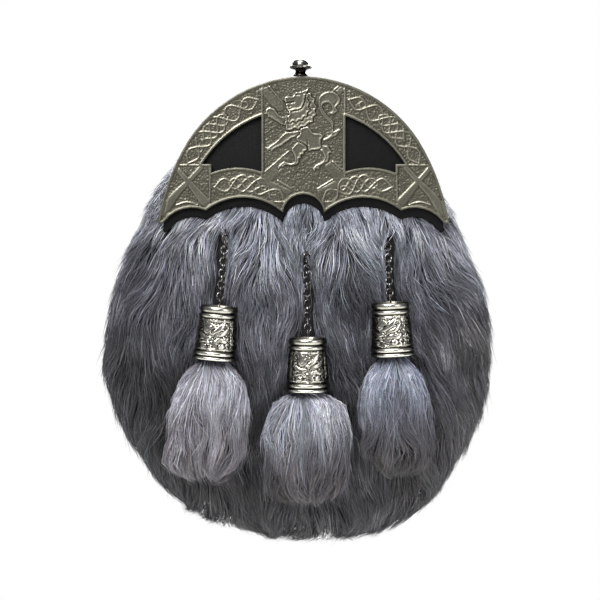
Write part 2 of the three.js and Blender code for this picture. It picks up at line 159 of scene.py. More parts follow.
def meshFromArrays(name, points, corners, counts):
    # points (n, 3), corners flat, counts of corners per face
    mesh = bpy.data.meshes.new(name)
    mesh.vertices.add(len(points))
    mesh.vertices.foreach_set("co", np.ascontiguousarray(points, np.float32).ravel())
    mesh.loops.add(len(corners))
    mesh.loops.foreach_set("vertex_index", np.ascontiguousarray(corners, np.int32))
    mesh.polygons.add(len(counts))
    starts = np.concatenate([[0], np.cumsum(counts)[:-1]]).astype(np.int32)
    mesh.polygons.foreach_set("loop_start", starts)
    mesh.update(calc_edges=True)
    piece = bpy.data.objects.new(name, mesh)
    bpy.context.scene.collection.objects.link(piece)
    return piece


def nodePoints(node):
    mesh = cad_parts[node].data
    points = np.zeros(len(mesh.vertices) * 3, np.float32)
    mesh.vertices.foreach_get("co", points)
    return points.reshape(-1, 3).astype(float)


def smoothStep(low, high, value):
    t = np.clip((value - low) / (high - low), 0, 1)
    return t * t * (3 - 2 * t)


def splineRows(rows, step):
    # a smooth line through rows of numbers, the first two being its place, sampled about a step apart
    rows = np.array(rows, float)
    if len(rows) == 1:
        return rows
    ends = np.vstack([2 * rows[0] - rows[1], rows, 2 * rows[-1] - rows[-2]])
    path = []
    for a, b, c, d in zip(ends, ends[1:], ends[2:], ends[3:]):
        count = max(2, int(np.hypot(*(c - b)[:2]) / step))
        t = np.arange(count)[:, None] / count
        path.append(0.5 * (2 * b + (c - a) * t + (2 * a - 5 * b + 4 * c - d) * t ** 2
                           + (3 * b - a - 3 * c + d) * t ** 3))
    path.append(rows[-1:])
    return np.vstack(path)


# ---- camera, light and floor

stage = {
    "lens": 135,
    "viewWidth": 0.3142,      # metres seen across the plane of the cantle
    "aim": (-0.0018, -0.037, -0.0463),
    "floorZ": -0.62,
    "floorSize": 5.6,
    "world": "#8f9196",       # room light that falls on the piece
    "worldStrength": 0.6,
    "overhead": 2.3,          # even light from above, on the floor too
    "backdrop": 1.0,          # the white that the lens sees behind it
}


def areaLight(name, place, target, size, power, tint="#ffffff"):
    lamp = bpy.data.lights.new(name, "AREA")
    lamp.shape = "RECTANGLE"
    lamp.size, lamp.size_y = size
    lamp.energy = power
    lamp.color = linear(tint)
    holder = bpy.data.objects.new(name, lamp)
    holder.location = place
    holder.rotation_euler = (Vector(target) - Vector(place)).to_track_quat("-Z", "Y").to_euler()
    bpy.context.scene.collection.objects.link(holder)


def makeStage():
    scene = bpy.context.scene
    scene.view_settings.view_transform = "Standard"
    aim = Vector(stage["aim"])
    distance = stage["viewWidth"] * stage["lens"] / 36
    lens = bpy.data.cameras.new("camera")
    lens.lens = stage["lens"]
    lens.sensor_width = 36
    lens.clip_end = 30
    camera = bpy.data.objects.new("camera", lens)
    camera.location = aim + Vector((0, -distance, 0))
    camera.rotation_euler = (math.pi / 2, 0, 0)
    scene.collection.objects.link(camera)
    scene.camera = camera

    world = bpy.data.worlds.new("studio")
    world.use_nodes = True
    scene.world = world
    tree = world.node_tree
    tree.nodes.clear()
    room = addNode(tree, "ShaderNodeBackground", inputs={
        "Color": colour(stage["world"]), "Strength": stage["worldStrength"]})
    white = addNode(tree, "ShaderNodeBackground", inputs={
        "Color": colour("#ffffff"), "Strength": stage["backdrop"]})
    seen = addNode(tree, "ShaderNodeLightPath")
    both = addNode(tree, "ShaderNodeMixShader", inputs={
        0: seen.outputs["Is Camera Ray"], 1: room.outputs[0], 2: white.outputs[0]})
    addNode(tree, "ShaderNodeOutputWorld", inputs={"Surface": both.outputs[0]})

    areaLight("key", (-0.45, -1.25, 0.9), aim, (0.8, 0.8), 22)
    areaLight("fill", (0.95, -1.1, 0.15), aim, (0.7, 0.9), 5)
    sky = bpy.data.lights.new("overhead", "SUN")
    sky.energy = stage["overhead"]
    sky.angle = math.radians(55)
    overhead = bpy.data.objects.new("overhead", sky)
    overhead.rotation_euler = (math.radians(24), math.radians(-8), 0)
    scene.collection.objects.link(overhead)
    areaLight("back", (0.3, 1.3, 0.7), aim, (1.2, 1.0), 42)

    bpy.ops.object.select_all(action="DESELECT")
    bpy.ops.mesh.primitive_circle_add(vertices=96, radius=stage["floorSize"] / 2, fill_type="NGON",
                                      location=(0, 0, stage["floorZ"]))
    floor = bpy.context.object
    floor.name = "floor"
    bakePlace(floor)
    material, tree, output = newMaterial("matt white studio floor")
    paint = addNode(tree, "ShaderNodeBsdfPrincipled", inputs={
        "Base Color": colour("#f4f4f2"), "Roughness": 0.9})
    tree.links.new(paint.outputs[0], output.inputs["Surface"])
    floor.data.materials.append(material)
    print("stage ready")


makeStage()


# ---- relief: strokes raised on a flat map of heights, in millimetres

def newRelief(x, d):
    return {"x": x, "d": d, "height": np.zeros_like(x)}


def stamp(relief, rows, lift, flat=2.0, groove=0.0, sign=1, step=0.25):
    # raises a stroke with rows (x, drop, half-width); groove cuts round it, sign -1 sinks it
    path = splineRows(rows, step)
    reach = float(path[:, 2].max()) + 0.8
    xLine, dLine = relief["x"][0], relief["d"][:, 0]
    columns = np.where((xLine > path[:, 0].min() - reach) & (xLine < path[:, 0].max() + reach))[0]
    lines = np.where((dLine > path[:, 1].min() - reach) & (dLine < path[:, 1].max() + reach))[0]
    if not len(columns) or not len(lines):
        return
    part = (slice(lines[0], lines[-1] + 1), slice(columns[0], columns[-1] + 1))
    x, d = relief["x"][part], relief["d"][part]
    share = np.zeros_like(x)
    outside = np.full_like(x, 9.0)
    for row in path:
        away = np.hypot(x - row[0], d - row[1])
        rise = row[3] if len(row) > 3 else 1.0
        dome = np.clip(1 - (away / max(row[2], 0.1)) ** flat, 0, 1) ** 0.5
        np.maximum(share, dome * min(1, 0.35 + row[2] / 1.6) * rise, out=share)
        np.minimum(outside, away - row[2], out=outside)
    field = relief["height"]
    if sign < 0:
        field[part] -= lift * share
        return
    if groove:
        field[part] -= groove * np.clip(1 - np.abs(outside - 0.1) / 0.5, 0, 1)
    field[part] = np.maximum(field[part], lift * share)


def raiseShape(relief, outline, lift, groove=0.22):
    # raises an outlined shape that stands highest just inside its edge; a fine groove goes round it
    loop = splineRows(outline + outline[:1], 0.45)
    xLine, dLine = relief["x"][0], relief["d"][:, 0]
    columns = np.where((xLine > loop[:, 0].min() - 1) & (xLine < loop[:, 0].max() + 1))[0]
    lines = np.where((dLine > loop[:, 1].min() - 1) & (dLine < loop[:, 1].max() + 1))[0]
    part = (slice(lines[0], lines[-1] + 1), slice(columns[0], columns[-1] + 1))
    segments = np.column_stack([loop[:-1], loop[1:]])
    depth = signedDistance(relief["x"][part], relief["d"][part], segments)[0]
    field = relief["height"]
    field[part] -= groove * np.clip(1 - np.abs(depth + 0.3) / 0.45, 0, 1)
    raised = lift * smoothStep(-0.05, 0.5, depth) * (1 - 0.3 * smoothStep(0.5, 1.7, depth))
    field[part] = np.where(depth > 0, np.maximum(raised, 0.6 * lift * (depth > 0.3)), field[part])


def blurred(field, times):
    # each pass averages a cell with its neighbours
    for _ in range(times):
        padded = np.pad(field, 1, mode="edge")
        field = (padded[:-2, 1:-1] + padded[2:, 1:-1] + padded[1:-1, :-2] + padded[1:-1, 2:]
                 + 2 * field) / 6
    return field


def plait(relief, spine, halfWidth, lobes, lift, ridge, inner=None):
    # two strands that cross lobes times along the spine, and a denser weave in the inner stretch
    s = np.linspace(0, 1, 260)
    middle, normal = spine(s)
    swell = np.sin(np.pi * np.clip(s, 0.001, 0.999)) ** 0.32
    wave = halfWidth * swell * np.sin(np.pi * lobes * s)
    cross = np.cos(np.pi * lobes * s)
    for hand in (1, -1):
        place = middle + normal * (hand * wave)[:, None]
        rise = 1 + 0.22 * hand * cross
        stamp(relief, np.column_stack([place, np.full(260, ridge), rise]), lift, step=0.3)
    if inner:
        inside = (s > inner[0]) & (s < inner[1])
        t = (s[inside] - inner[0]) / (inner[1] - inner[0])
        ends = np.sin(np.pi * t) ** 0.5
        wave = 0.95 * halfWidth * ends * np.cos(np.pi * lobes * s[inside])
        for hand in (1, -1):
            place = middle[inside] + normal[inside] * (hand * wave)[:, None]
            rise = np.full(inside.sum(), 0.9)
            stamp(relief, np.column_stack([place, np.full(inside.sum(), ridge), rise]), lift, step=0.3)


# ---- cantle: cast plate with knotwork, saltires and a rampant lion

cantle = {
    "grid": 0.32,           # spacing of the modelled relief
    "rimHeight": 0.7,
    "frameHeight": 0.6,
    "knotHeight": 0.55,
    "knotRidge": 0.56,
    "stipple": 0.085,        # depth of the cast ground, millimetres
    "panelSide": 21.7,      # half-width of the middle panel
}

# lion, back to front: height, then its outline as x and drop below the cantle's top
lionShapes = {
    "tail": (0.62, [(14.8, 27.5), (14.2, 25), (13.2, 23.8), (11.2, 22), (9.4, 19.7), (8.2, 17.2),
                    (7.7, 14.9), (7.7, 12.6), (8.3, 10.6), (10.3, 8.8), (12.4, 8), (14.6, 7.9), (16.6, 8.5),
                    (18.2, 9.7), (19.6, 11.8), (19.2, 14), (18, 15.6), (17.2, 16.6), (18.4, 18.2), (17, 19.4),
                    (15.4, 20.4), (13.6, 19.4), (14.8, 18.4), (15, 16.8), (14.2, 14.9), (12.4, 14.1),
                    (10.8, 14.6), (10.2, 15.8), (10.5, 17.2), (12, 19.4), (13.8, 21.6), (15.4, 23),
                    (16.2, 25), (15.7, 27.4), (15.8, 28.8), (17.4, 28), (18.6, 27.4), (20.3, 28.4),
                    (18.8, 29.3), (17.4, 31.4), (15.2, 32.4), (13, 33.6), (10.8, 34.2), (9.8, 33),
                    (12.4, 31.8), (14.2, 30.2)]),
    "far hind leg": (0.66, [(9, 36.6), (11.6, 36.2), (13.2, 36.8), (14, 38.2), (15.6, 40.4), (13.8, 40.6),
                            (13.7, 42.6), (12.9, 45), (11.4, 45.6), (10.3, 46.4), (8.8, 47.4),
                            (8.4, 49), (6.8, 48.6), (6, 50), (4.8, 48.6), (5.8, 47), (7, 46),
                            (8.8, 45.2), (10.2, 44), (10.8, 42), (10, 40.2), (8.6, 38.8)]),
    "lower foreleg": (0.7, [(-18.9, 37.2), (-17.2, 36), (-14.9, 34.4), (-13.2, 32.8), (-11.6, 31.1),
                            (-10.2, 29.8), (-9, 29.2), (-5.9, 29), (-1.6, 28.2), (-2, 30.6), (-3.9, 32.1),
                            (-5.9, 32.6), (-7.4, 33.8), (-9.4, 35), (-11, 36.4), (-13, 37.3), (-15, 38.3),
                            (-16.6, 39.8), (-17.4, 38.8), (-19.4, 39.4), (-19, 38.2), (-20.4, 37.6)]),
    "torso": (0.8, [(-1.8, 27.4), (0.6, 26.4), (2.2, 26.2), (3.8, 27.6), (5.4, 29.6), (8.4, 29.9),
                    (10.6, 31), (10.2, 32.4), (9.5, 33.2), (9.4, 35.4), (9.8, 37.6), (7.4, 38.8),
                    (4.6, 39), (2.7, 39.6), (2.2, 38.6), (1.9, 36.8), (-1.2, 35.2), (-3.2, 34.2),
                    (-3.9, 32.2), (-2.2, 30.4)]),
    "near hind leg": (0.86, [(-3, 34.2), (-0.6, 35.2), (1.7, 36.8), (2, 38.9), (0.6, 39.6), (0.4, 41.2),
                             (-1, 41.4), (-1, 43), (-2.2, 43.4), (-2.2, 45), (-3.4, 46.5), (-5.9, 47),
                             (-7.6, 46.8), (-9.6, 46.9), (-10.6, 48), (-12, 47.6), (-13, 49), (-13.6, 47.6),
                             (-12.4, 46), (-10.6, 44.7), (-9.6, 44.6), (-7.8, 45.4), (-6, 45.4),
                             (-4.9, 44.8), (-4.8, 42.2), (-5.4, 40.4), (-6.5, 38.4), (-5.2, 36.4)]),
    "upper foreleg": (0.74, [(-20.2, 17.8), (-18.8, 16.6), (-17.4, 16.2), (-16, 16.8), (-14.9, 17.2),
                             (-13.4, 19.4), (-11.6, 20.9), (-9, 21.6), (-8.6, 25.4), (-11.1, 25.7),
                             (-13.4, 24.2), (-15.4, 23), (-17.4, 21.8), (-18.9, 21.6), (-18.8, 20.2),
                             (-20.8, 20.2), (-20, 19)]),
    "mane": (0.84, [(1.8, 8.4), (4.1, 9), (4.5, 10.8), (6.3, 12), (6, 14), (7.3, 16.2), (6.3, 18),
                    (6.9, 20.2), (5.2, 21.8), (5.3, 24.2), (2.9, 24.8), (1, 26.6), (-1.1, 26.8),
                    (-2.4, 28.2), (-4.4, 27.4), (-6.6, 28.6), (-9.4, 28.2), (-9.4, 26.2), (-10.2, 24.6),
                    (-9.2, 22.8), (-9.9, 21.2), (-8, 20.6), (-8.4, 18.8), (-4, 16), (-1, 12)]),
    "collar": (0.96, [(1.4, 8.6), (2.8, 10), (2.4, 12), (3.6, 14), (2.9, 16), (3.8, 18), (2.4, 19.4),
                      (2.2, 21.4), (0.4, 21.6), (-0.4, 23.4), (-2.2, 23.2), (-3.6, 24.8), (-5.2, 23.8),
                      (-6.8, 24.9), (-8.6, 24), (-8.2, 22.2), (-9, 21), (-7.6, 20), (-7.8, 18.4),
                      (-4, 15), (-1, 11)]),
    "head": (1.06, [(-9.9, 10.7), (-7.6, 10.3), (-5.9, 10.4), (-4.7, 9), (-3.8, 8.2), (-2, 8), (0, 7.5),
                    (1.6, 6.6), (3, 5.7), (2.6, 7.6), (1.6, 9), (1.1, 11), (0.8, 13), (0.2, 15),
                    (-0.8, 16.8), (-2.6, 17.8), (-4.6, 18), (-6.6, 18.5), (-8.2, 18.2), (-9, 16.8),
                    (-9.3, 15.2), (-9.8, 13.6), (-10.2, 12.2)]),
}
# lines cut into it: depth, then rows of x, drop and half-width
lionCuts = {
    "mouth": (0.9, [(-10.4, 14.2, .4), (-7, 13.8, .5), (-4.8, 13.4, .4)]),
    "teeth": (0.7, [(-9.8, 15.9, .35), (-8, 15.8, .4), (-6.8, 15.7, .3)]),
    "chin": (0.6, [(-9, 17.4, .3), (-7.6, 17.4, .35), (-6.5, 17.1, .3)]),
    "eye": (0.6, [(-4.6, 9.9, .35), (-3.4, 9.5, .55), (-2.2, 9.7, .35)]),
    "ear hollow": (0.5, [(.4, 9, .45), (1.2, 8.3, .35)]),
    "nostril": (0.4, [(-9, 11.6, .3)]),
    "thigh line": (0.6, [(2, 33.6, .35), (2.2, 36.4, .4), (2.3, 39.6, .4)]),
    "waist": (0.35, [(-3.4, 31.2, .35), (-2, 29.8, .35), (-.6, 29.4, .3)]),
    "mane cut a": (0.3, [(3.2, 12.4, .3), (5, 12.6, .3)]),
    "mane cut b": (0.3, [(4, 16.6, .3), (6, 16.8, .3)]),
    "mane cut c": (0.3, [(3.2, 20.6, .3), (5, 21.4, .3)]),
    "mane cut d": (0.3, [(-2, 24.6, .3), (-1.6, 26.4, .3)]),
    "mane cut e": (0.3, [(-5, 25.4, .3), (-5.4, 27.4, .3)]),
    "tail split": (0.35, [(16.6, 11, .3), (17.4, 13.2, .35), (16.4, 15.2, .3)]),
}
# smooth bands behind the lion, and their bright upper edges
saltireBands = [[(-20.6, 7.4, 2.4), (-12.6, 16.2, 2.4)], [(20.4, 6.6, 1.6), (16.8, 10.2, 1.6)],
                [(-20.2, 54.2, 3.2), (-10, 45, 2.6)], [(19.6, 53.4, 3.2), (13.8, 47.4, 2.4)],
                [(-20, 55.6, 2), (-8, 60.6, 1.3)], [(19.6, 55.4, 2), (8.6, 60.4, 1.3)]]
saltireEdges = [[(-18.3, 4.9, .45), (-10.4, 14.5, .45)], [(19.1, 4.5, .45), (15.5, 7.9, .45)],
                [(-20.2, 50.2, .5), (-7.8, 39.4, .45)], [(-13.4, 54.6, .45), (-6.2, 58.8, .45)],
                [(15.5, 44.8, .5), (21.3, 49.6, .45)], [(7.5, 59, .45), (15.3, 54.2, .45)]]
# right corner: the saltire's arms, and the bright edges between them
cornerArms = [[(60.3, 55.2, 1.4), (66.6, 47.9, 1.3)], [(60.3, 55.2, 1.4), (53.8, 48, 1.3)],
              [(60.3, 55.2, 1.5), (67, 62, 2), (73, 70.5, 3)], [(60.3, 55.2, 1.5), (51.4, 66, 2.6)]]
cornerEdges = [[(66.4, 48.3, .5), (60.2, 54, .5)], [(60.2, 54, .5), (55.3, 48.4, .5)],
               [(73, 68, .5), (62.6, 56.6, .45)], [(57.8, 57, .45), (51.2, 64.6, .45)],
               [(66.5, 67.4, .5), (61, 66, .5), (55.4, 67.4, .5)]]
barSpine = [(-46.7, 58.2), (-38, 56.6), (-29.7, 56.4), (-20, 59), (-10, 66)]


def outlineSegments(node, y):
    # the outline edges of a CAD plate's flat face at that depth, as (x, z) pairs in millimetres
    source = bmesh.new()
    source.from_mesh(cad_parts[node].data)
    bmesh.ops.remove_doubles(source, verts=source.verts, dist=0.02 * mm)
    flat = {f for f in source.faces if all(abs(v.co.y - y) < 0.03 * mm for v in f.verts)}
    lines = []
    for edge in source.edges:
        if sum(f in flat for f in edge.link_faces) == 1:
            a, b = [v.co / mm for v in edge.verts]
            lines.append((a.x, a.z, b.x, b.z))
    source.free()
    return np.array(lines)


def signedDistance(x, z, lines):
    # distance to the outline, positive inside, with the nearest outline point
    best = np.full(x.shape, 1e9)
    nearX, nearZ = np.zeros_like(x), np.zeros_like(x)
    crossings = np.zeros(x.shape, int)
    for ax, az, bx, bz in lines:
        dx, dz = bx - ax, bz - az
        t = np.clip(((x - ax) * dx + (z - az) * dz) / (dx * dx + dz * dz + 1e-12), 0, 1)
        px, pz = ax + t * dx, az + t * dz
        away = np.hypot(x - px, z - pz)
        closer = away < best
        best = np.where(closer, away, best)
        nearX = np.where(closer, px, nearX)
        nearZ = np.where(closer, pz, nearZ)
        if dz:
            spans = (az > z) != (bz > z)
            crossings += spans & (x < ax + (z - az) * dx / dz)
    return np.where(crossings % 2 == 1, best, -best), nearX, nearZ


cantleLow, cantleHigh = [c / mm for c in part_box("cantle")]
cantleLines = outlineSegments("cantle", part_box("cantle")[1].y)
backingLines = outlineSegments("cantle_backing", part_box("cantle_backing")[1].y)


def arcSpine(hand):
    def spine(s):
        angle = np.radians(20.6 + (64.2 - 20.6) * s)
        middle = np.column_stack([hand * 67.3 * np.sin(angle), 75.3 - 67.3 * np.cos(angle)])
        return middle, np.column_stack([hand * np.sin(angle), -np.cos(angle)])
    return spine


def lineSpine(rows, hand):
    path = splineRows(rows, 0.2) * (hand, 1)

    def spine(s):
        place = s * (len(path) - 1)
        middle = np.column_stack([np.interp(place, np.arange(len(path)), path[:, k]) for k in (0, 1)])
        along = np.gradient(middle, axis=0)
        along /= np.linalg.norm(along, axis=1)[:, None]
        return middle, np.column_stack([along[:, 1], -along[:, 0]])
    return spine


def cantleRelief(x, z, toWindow, toEdge):
    relief = newRelief(x, cantleHigh.z - z)
    height = relief["height"]
    for rows in saltireBands:
        stamp(relief, rows, 0.24, flat=8)
    for rows in saltireEdges:
        stamp(relief, rows, 0.62)
    for hand in (1, -1):
        for rows in cornerArms:
            stamp(relief, [(hand * a, b, r) for a, b, r in rows], 0.5, flat=6)
        for rows in cornerEdges:
            stamp(relief, [(hand * a, b, r) for a, b, r in rows], 0.8)
        plait(relief, arcSpine(hand), 4.7, 5, cantle["knotHeight"], cantle["knotRidge"], (0.36, 0.72))
        plait(relief, lineSpine(barSpine, -hand), 4.4, 4, cantle["knotHeight"], cantle["knotRidge"],
              (0.2, 0.7))
        for ringX, ringD in ((54.6, 38.2), (30.9, 15.1)):
            turn = np.linspace(0, 2 * np.pi, 30)
            ring = np.column_stack([hand * ringX + 1.7 * np.cos(turn), ringD + 1.7 * np.sin(turn),
                                    np.full(30, 0.42)])
            stamp(relief, ring, 0.5)
        # borders of the panels
        side = hand * cantle["panelSide"]
        stamp(relief, [(side, 6, .55), (side, 52.5, .55)], 0.6)
        stamp(relief, [(hand * 48.7, 46.6, .55), (hand * 67.4, 46.6, .55)], 0.6)
        stamp(relief, [(hand * 48.9, 46.6, .5), (hand * 49.2, 67.6, .5)], 0.6)
        stamp(relief, [(hand * 24.2, 6.4, .4), (hand * 24.4, 14.5, .4)], 0.4)
    for lift, outline in lionShapes.values():
        raiseShape(relief, outline, lift)
    for depth, rows in lionCuts.values():
        stamp(relief, rows, depth, sign=-1)
    # rim bead, window frames and the sunk line beside them
    rim = cantle["rimHeight"] * np.clip(1 - ((toEdge - 0.55) / 0.75) ** 2, 0, 1) ** 0.5
    border = cantle["frameHeight"] * np.clip(1 - ((toWindow - 0.6) / 0.85) ** 2, 0, 1) ** 0.5
    height[:] -= 0.25 * np.clip(1 - np.abs(toEdge - 2.1) / 0.6, 0, 1)
    height[:] = np.maximum(height, rim)
    height[:] = np.maximum(height, border)
    # cast ground, left rough where nothing is raised
    rough = blurred(dice.normal(size=x.shape), 1)
    rough /= rough.std()
    ground = 1 - smoothStep(0.05, 0.3, height)
    height += cantle["stipple"] * rough * (0.1 + 0.9 * ground)
    return height, ground


def makeCantle():
    step = cantle["grid"]
    xs = np.arange(cantleLow.x - step, cantleHigh.x + 1.5 * step, step)
    zs = np.arange(cantleHigh.z + step, cantleLow.z - 1.5 * step, -step)
    x, z = np.meshgrid(xs, zs)
    depth, nearX, nearZ = signedDistance(x, z, cantleLines)
    # outline edges that bound the windows lie well inside the plate
    mid = (cantleLines[:, :2] + cantleLines[:, 2:]) / 2
    windowLike = ((mid[:, 1] > 20) & (mid[:, 1] < 52) & (np.abs(mid[:, 0]) < 54.5)
                  & (np.hypot(mid[:, 0], mid[:, 1] + 4.3) < 64.5))
    toWindow = np.abs(signedDistance(x, z, cantleLines[windowLike])[0])
    toEdge = np.abs(signedDistance(x, z, cantleLines[~windowLike])[0])
    height, ground = cantleRelief(x, z, toWindow, toEdge)
    slopeZ, slopeX = np.gradient(height, cantle["grid"])
    slopeZ *= np.sign(z[1, 0] - z[0, 0])
    # slopes that face the upper left are made lighter: a painted highlight from that side
    upperLeftHighlight = np.clip(slopeX * np.sign(x[0, 1] - x[0, 0]) - slopeZ, -1.2, 1.2)
    rubAndPaintedLight = 0.55 * (height - blurred(height, 7)) + 0.16 * upperLeftHighlight
    rubAndPaintedLight *= 1 - 0.4 * ground
    rubAndPaintedLight *= 1 - 0.65 * (toEdge < 1.8)
    kept = depth > -0.7 * step
    snapped = kept & (depth < 0.35 * step)
    x = np.where(snapped, nearX, x)
    z = np.where(snapped, nearZ, z)
    plateY = cantleLow.y + 1.25
    y = plateY - np.minimum(height, 1.5)

    index = np.full(x.shape, -1)
    index[kept] = np.arange(kept.sum())
    points = np.column_stack([x[kept], y[kept], z[kept]]) * mm
    a, b = index[:-1, :-1].ravel(), index[:-1, 1:].ravel()
    c, d = index[1:, 1:].ravel(), index[1:, :-1].ravel()
    cells = np.column_stack([a, d, c, b])
    have = (cells >= 0).sum(1)
    faces = [list(row) for row in cells[have == 4]]
    for row in cells[have == 3]:
        faces.append([v for v in row if v >= 0])
    corners = np.concatenate([np.array(f) for f in faces])
    piece = meshFromArrays("cantle_cast", points, corners, [len(f) for f in faces])

    for name, field in (("rubAndPaintedLight", rubAndPaintedLight), ("ground", ground)):
        layer = piece.data.attributes.new(name, "FLOAT", "POINT")
        layer.data.foreach_set("value", field[kept].astype(np.float32))

    # walls back to the plate's rear face, and that face
    editAll(piece)
    bpy.ops.mesh.dissolve_degenerate(threshold=0.01 * mm)
    bpy.ops.mesh.delete_loose()
    bpy.ops.mesh.select_all(action="DESELECT")
    bpy.ops.mesh.select_mode(type="EDGE")
    bpy.ops.mesh.select_non_manifold()
    bpy.ops.mesh.extrude_edges_move()
    leaveEdit()
    for vertex in piece.data.vertices:
        if vertex.select:
            vertex.co.y = cantleHigh.y * mm
    editAll(piece)
    bpy.ops.mesh.select_all(action="DESELECT")
    bpy.ops.mesh.select_non_manifold()
    bpy.ops.mesh.fill()
    bpy.ops.mesh.select_all(action="SELECT")
    bpy.ops.mesh.normals_make_consistent(inside=False)
    bpy.ops.mesh.select_mode(type="VERT")
    leaveEdit()
    selectOnly(piece)
    bpy.ops.object.shade_smooth_by_angle(angle=math.radians(50))
    return piece


def castPewter():
    # cast pewter, antiqued: a grey-brown film stays in the recesses, raised edges are rubbed bright, and
    # slopes facing the upper left carry a painted highlight
    material, tree, output = newMaterial("antiqued cast pewter")
    place = addNode(tree, "ShaderNodeTexCoord")
    # this attribute holds the rubbed edges together with the painted upper-left highlight
    wornAndPaintedLight = addNode(tree, "ShaderNodeAttribute", {"attribute_name": "rubAndPaintedLight"})
    ground = addNode(tree, "ShaderNodeAttribute", {"attribute_name": "ground"})
    # tarnish in clouds about 8 mm across
    cloud = addNode(tree, "ShaderNodeTexNoise", inputs={
        "Vector": place.outputs["Object"], "Scale": 130, "Detail": 5, "Roughness": 0.6})
    grit = addNode(tree, "ShaderNodeTexNoise", inputs={
        "Vector": place.outputs["Object"], "Scale": 1100, "Detail": 3})
    level = addNode(tree, "ShaderNodeMath", {"operation": "MULTIPLY_ADD"}, {
        0: wornAndPaintedLight.outputs["Fac"], 1: 1.5, 2: 0.42})
    shifted = addNode(tree, "ShaderNodeMath", {"operation": "MULTIPLY_ADD"}, {
        0: cloud.outputs["Fac"], 1: 0.22, 2: level.outputs[0]})
    patinaAndLight = addNode(tree, "ShaderNodeMath", {"operation": "MULTIPLY_ADD"}, {
        0: ground.outputs["Fac"], 1: -0.07, 2: shifted.outputs[0]})
    tone = addNode(tree, "ShaderNodeValToRGB", inputs={"Fac": patinaAndLight.outputs[0]})
    fillRamp(tone, [(0.1, "#191712"), (0.36, "#423f35"), (0.52, "#5b594e"), (0.72, "#8a8779"),
                    (0.97, "#e4e1d4")])
    rough = addNode(tree, "ShaderNodeMapRange", inputs={
        "Value": patinaAndLight.outputs[0], "From Min": 0.2, "From Max": 0.9, "To Min": 0.58, "To Max": 0.3})
    bump = addNode(tree, "ShaderNodeBump", inputs={
        "Strength": 0.25, "Distance": 0.0002, "Height": grit.outputs["Fac"]})
    metal = addNode(tree, "ShaderNodeBsdfPrincipled", inputs={
        "Base Color": tone.outputs["Color"], "Metallic": 0.85, "Roughness": rough.outputs[0],
        "Normal": bump.outputs["Normal"]})
    tree.links.new(metal.outputs[0], output.inputs["Surface"])
    return material


dice = np.random.default_rng(7)
finishPiece(makeCantle(), castPewter(), "cast_pewter", "cantle")
print("cantle done")


# ---- leather: backing, back panel, flap and strap loops

leather = {
    "edge": 0.6,            # how far the cut edges are rounded
    "grain": 0.7,           # millimetres between creases
    "stitch": (2.6, 0.75, 0.55),
    "stitchGap": 1.1,
    "seamInset": 4.2,
}


def blackLeather():
    # smooth chrome-tanned cowhide, dyed black: fine pebble grain, a low waxy shine, duller in the creases
    material, tree, output = newMaterial("smooth black cowhide")
    place = addNode(tree, "ShaderNodeTexCoord")
    pebble = addNode(tree, "ShaderNodeTexVoronoi", {"feature": "DISTANCE_TO_EDGE"}, {
        "Vector": place.outputs["Object"], "Scale": 1000 / leather["grain"]})
    crease = addNode(tree, "ShaderNodeMapRange", inputs={
        "Value": pebble.outputs["Distance"], "From Min": 0.0, "From Max": 0.22})
    cloud = addNode(tree, "ShaderNodeTexNoise", inputs={
        "Vector": place.outputs["Object"], "Scale": 60, "Detail": 6, "Roughness": 0.65})
    tone = addNode(tree, "ShaderNodeValToRGB", inputs={"Fac": cloud.outputs["Fac"]})
    fillRamp(tone, [(0.3, "#040404"), (0.6, "#080808"), (0.8, "#0f100f")])
    wear = addNode(tree, "ShaderNodeMapRange", inputs={
        "Value": cloud.outputs["Fac"], "From Min": 0.3, "From Max": 0.75, "To Min": 0.42, "To Max": 0.62})
    bump = addNode(tree, "ShaderNodeBump", inputs={
        "Strength": 0.35, "Distance": 0.00015, "Height": crease.outputs[0]})
    hide = addNode(tree, "ShaderNodeBsdfPrincipled", inputs={
        "Base Color": tone.outputs["Color"], "Roughness": wear.outputs[0], "IOR": 1.5,
        "Specular IOR Level": 0.12, "Normal": bump.outputs["Normal"]})
    tree.links.new(hide.outputs[0], output.inputs["Surface"])
    return material


def roundedCopy(node, name, edge):
    piece = copyNode(node, name)
    editAll(piece)
    bpy.ops.mesh.dissolve_limited(angle_limit=math.radians(1))
    leaveEdit()
    applyModifier(piece, "BEVEL", width=edge * mm, segments=3, limit_method="ANGLE",
                  angle_limit=math.radians(40), use_clamp_overlap=True)
    bpy.ops.object.shade_smooth_by_angle(angle=math.radians(35))
    return piece


def closedOutline(lines):
    # the outline's points in order round its longest loop
    ends = {}
    for ax, az, bx, bz in np.round(lines, 3):
        ends.setdefault((ax, az), []).append((bx, bz))
        ends.setdefault((bx, bz), []).append((ax, az))
    best = []
    seen = set()
    for start in ends:
        if start in seen:
            continue
        loop = [start]
        seen.add(start)
        while True:
            following = [p for p in ends[loop[-1]] if p not in seen]
            if not following:
                break
            loop.append(following[0])
            seen.add(following[0])
        if len(loop) > len(best):
            best = loop
    return np.array(best)


def insetLoop(loop, distance):
    area = np.sum(loop[:, 0] * np.roll(loop[:, 1], -1) - np.roll(loop[:, 0], -1) * loop[:, 1])
    ahead = np.roll(loop, -1, 0) - np.roll(loop, 1, 0)
    ahead /= np.linalg.norm(ahead, axis=1)[:, None]
    inward = np.column_stack([-ahead[:, 1], ahead[:, 0]]) * np.sign(area)
    return loop + inward * distance


def evenPoints(loop, pitch, closed=True):
    # places and headings a pitch apart along a line
    line = np.vstack([loop, loop[:1]]) if closed else loop
    steps = np.linalg.norm(np.diff(line, axis=0), axis=1)
    run = np.concatenate([[0], np.cumsum(steps)])
    count = max(2, int(run[-1] / pitch))
    at = (np.arange(count) + 0.5) * run[-1] / count
    place = np.column_stack([np.interp(at, run, line[:, k]) for k in (0, 1)])
    later = np.column_stack([np.interp(np.minimum(at + 0.5, run[-1]), run, line[:, k]) for k in (0, 1)])
    heading = later - place
    return place, heading / np.linalg.norm(heading, axis=1)[:, None]


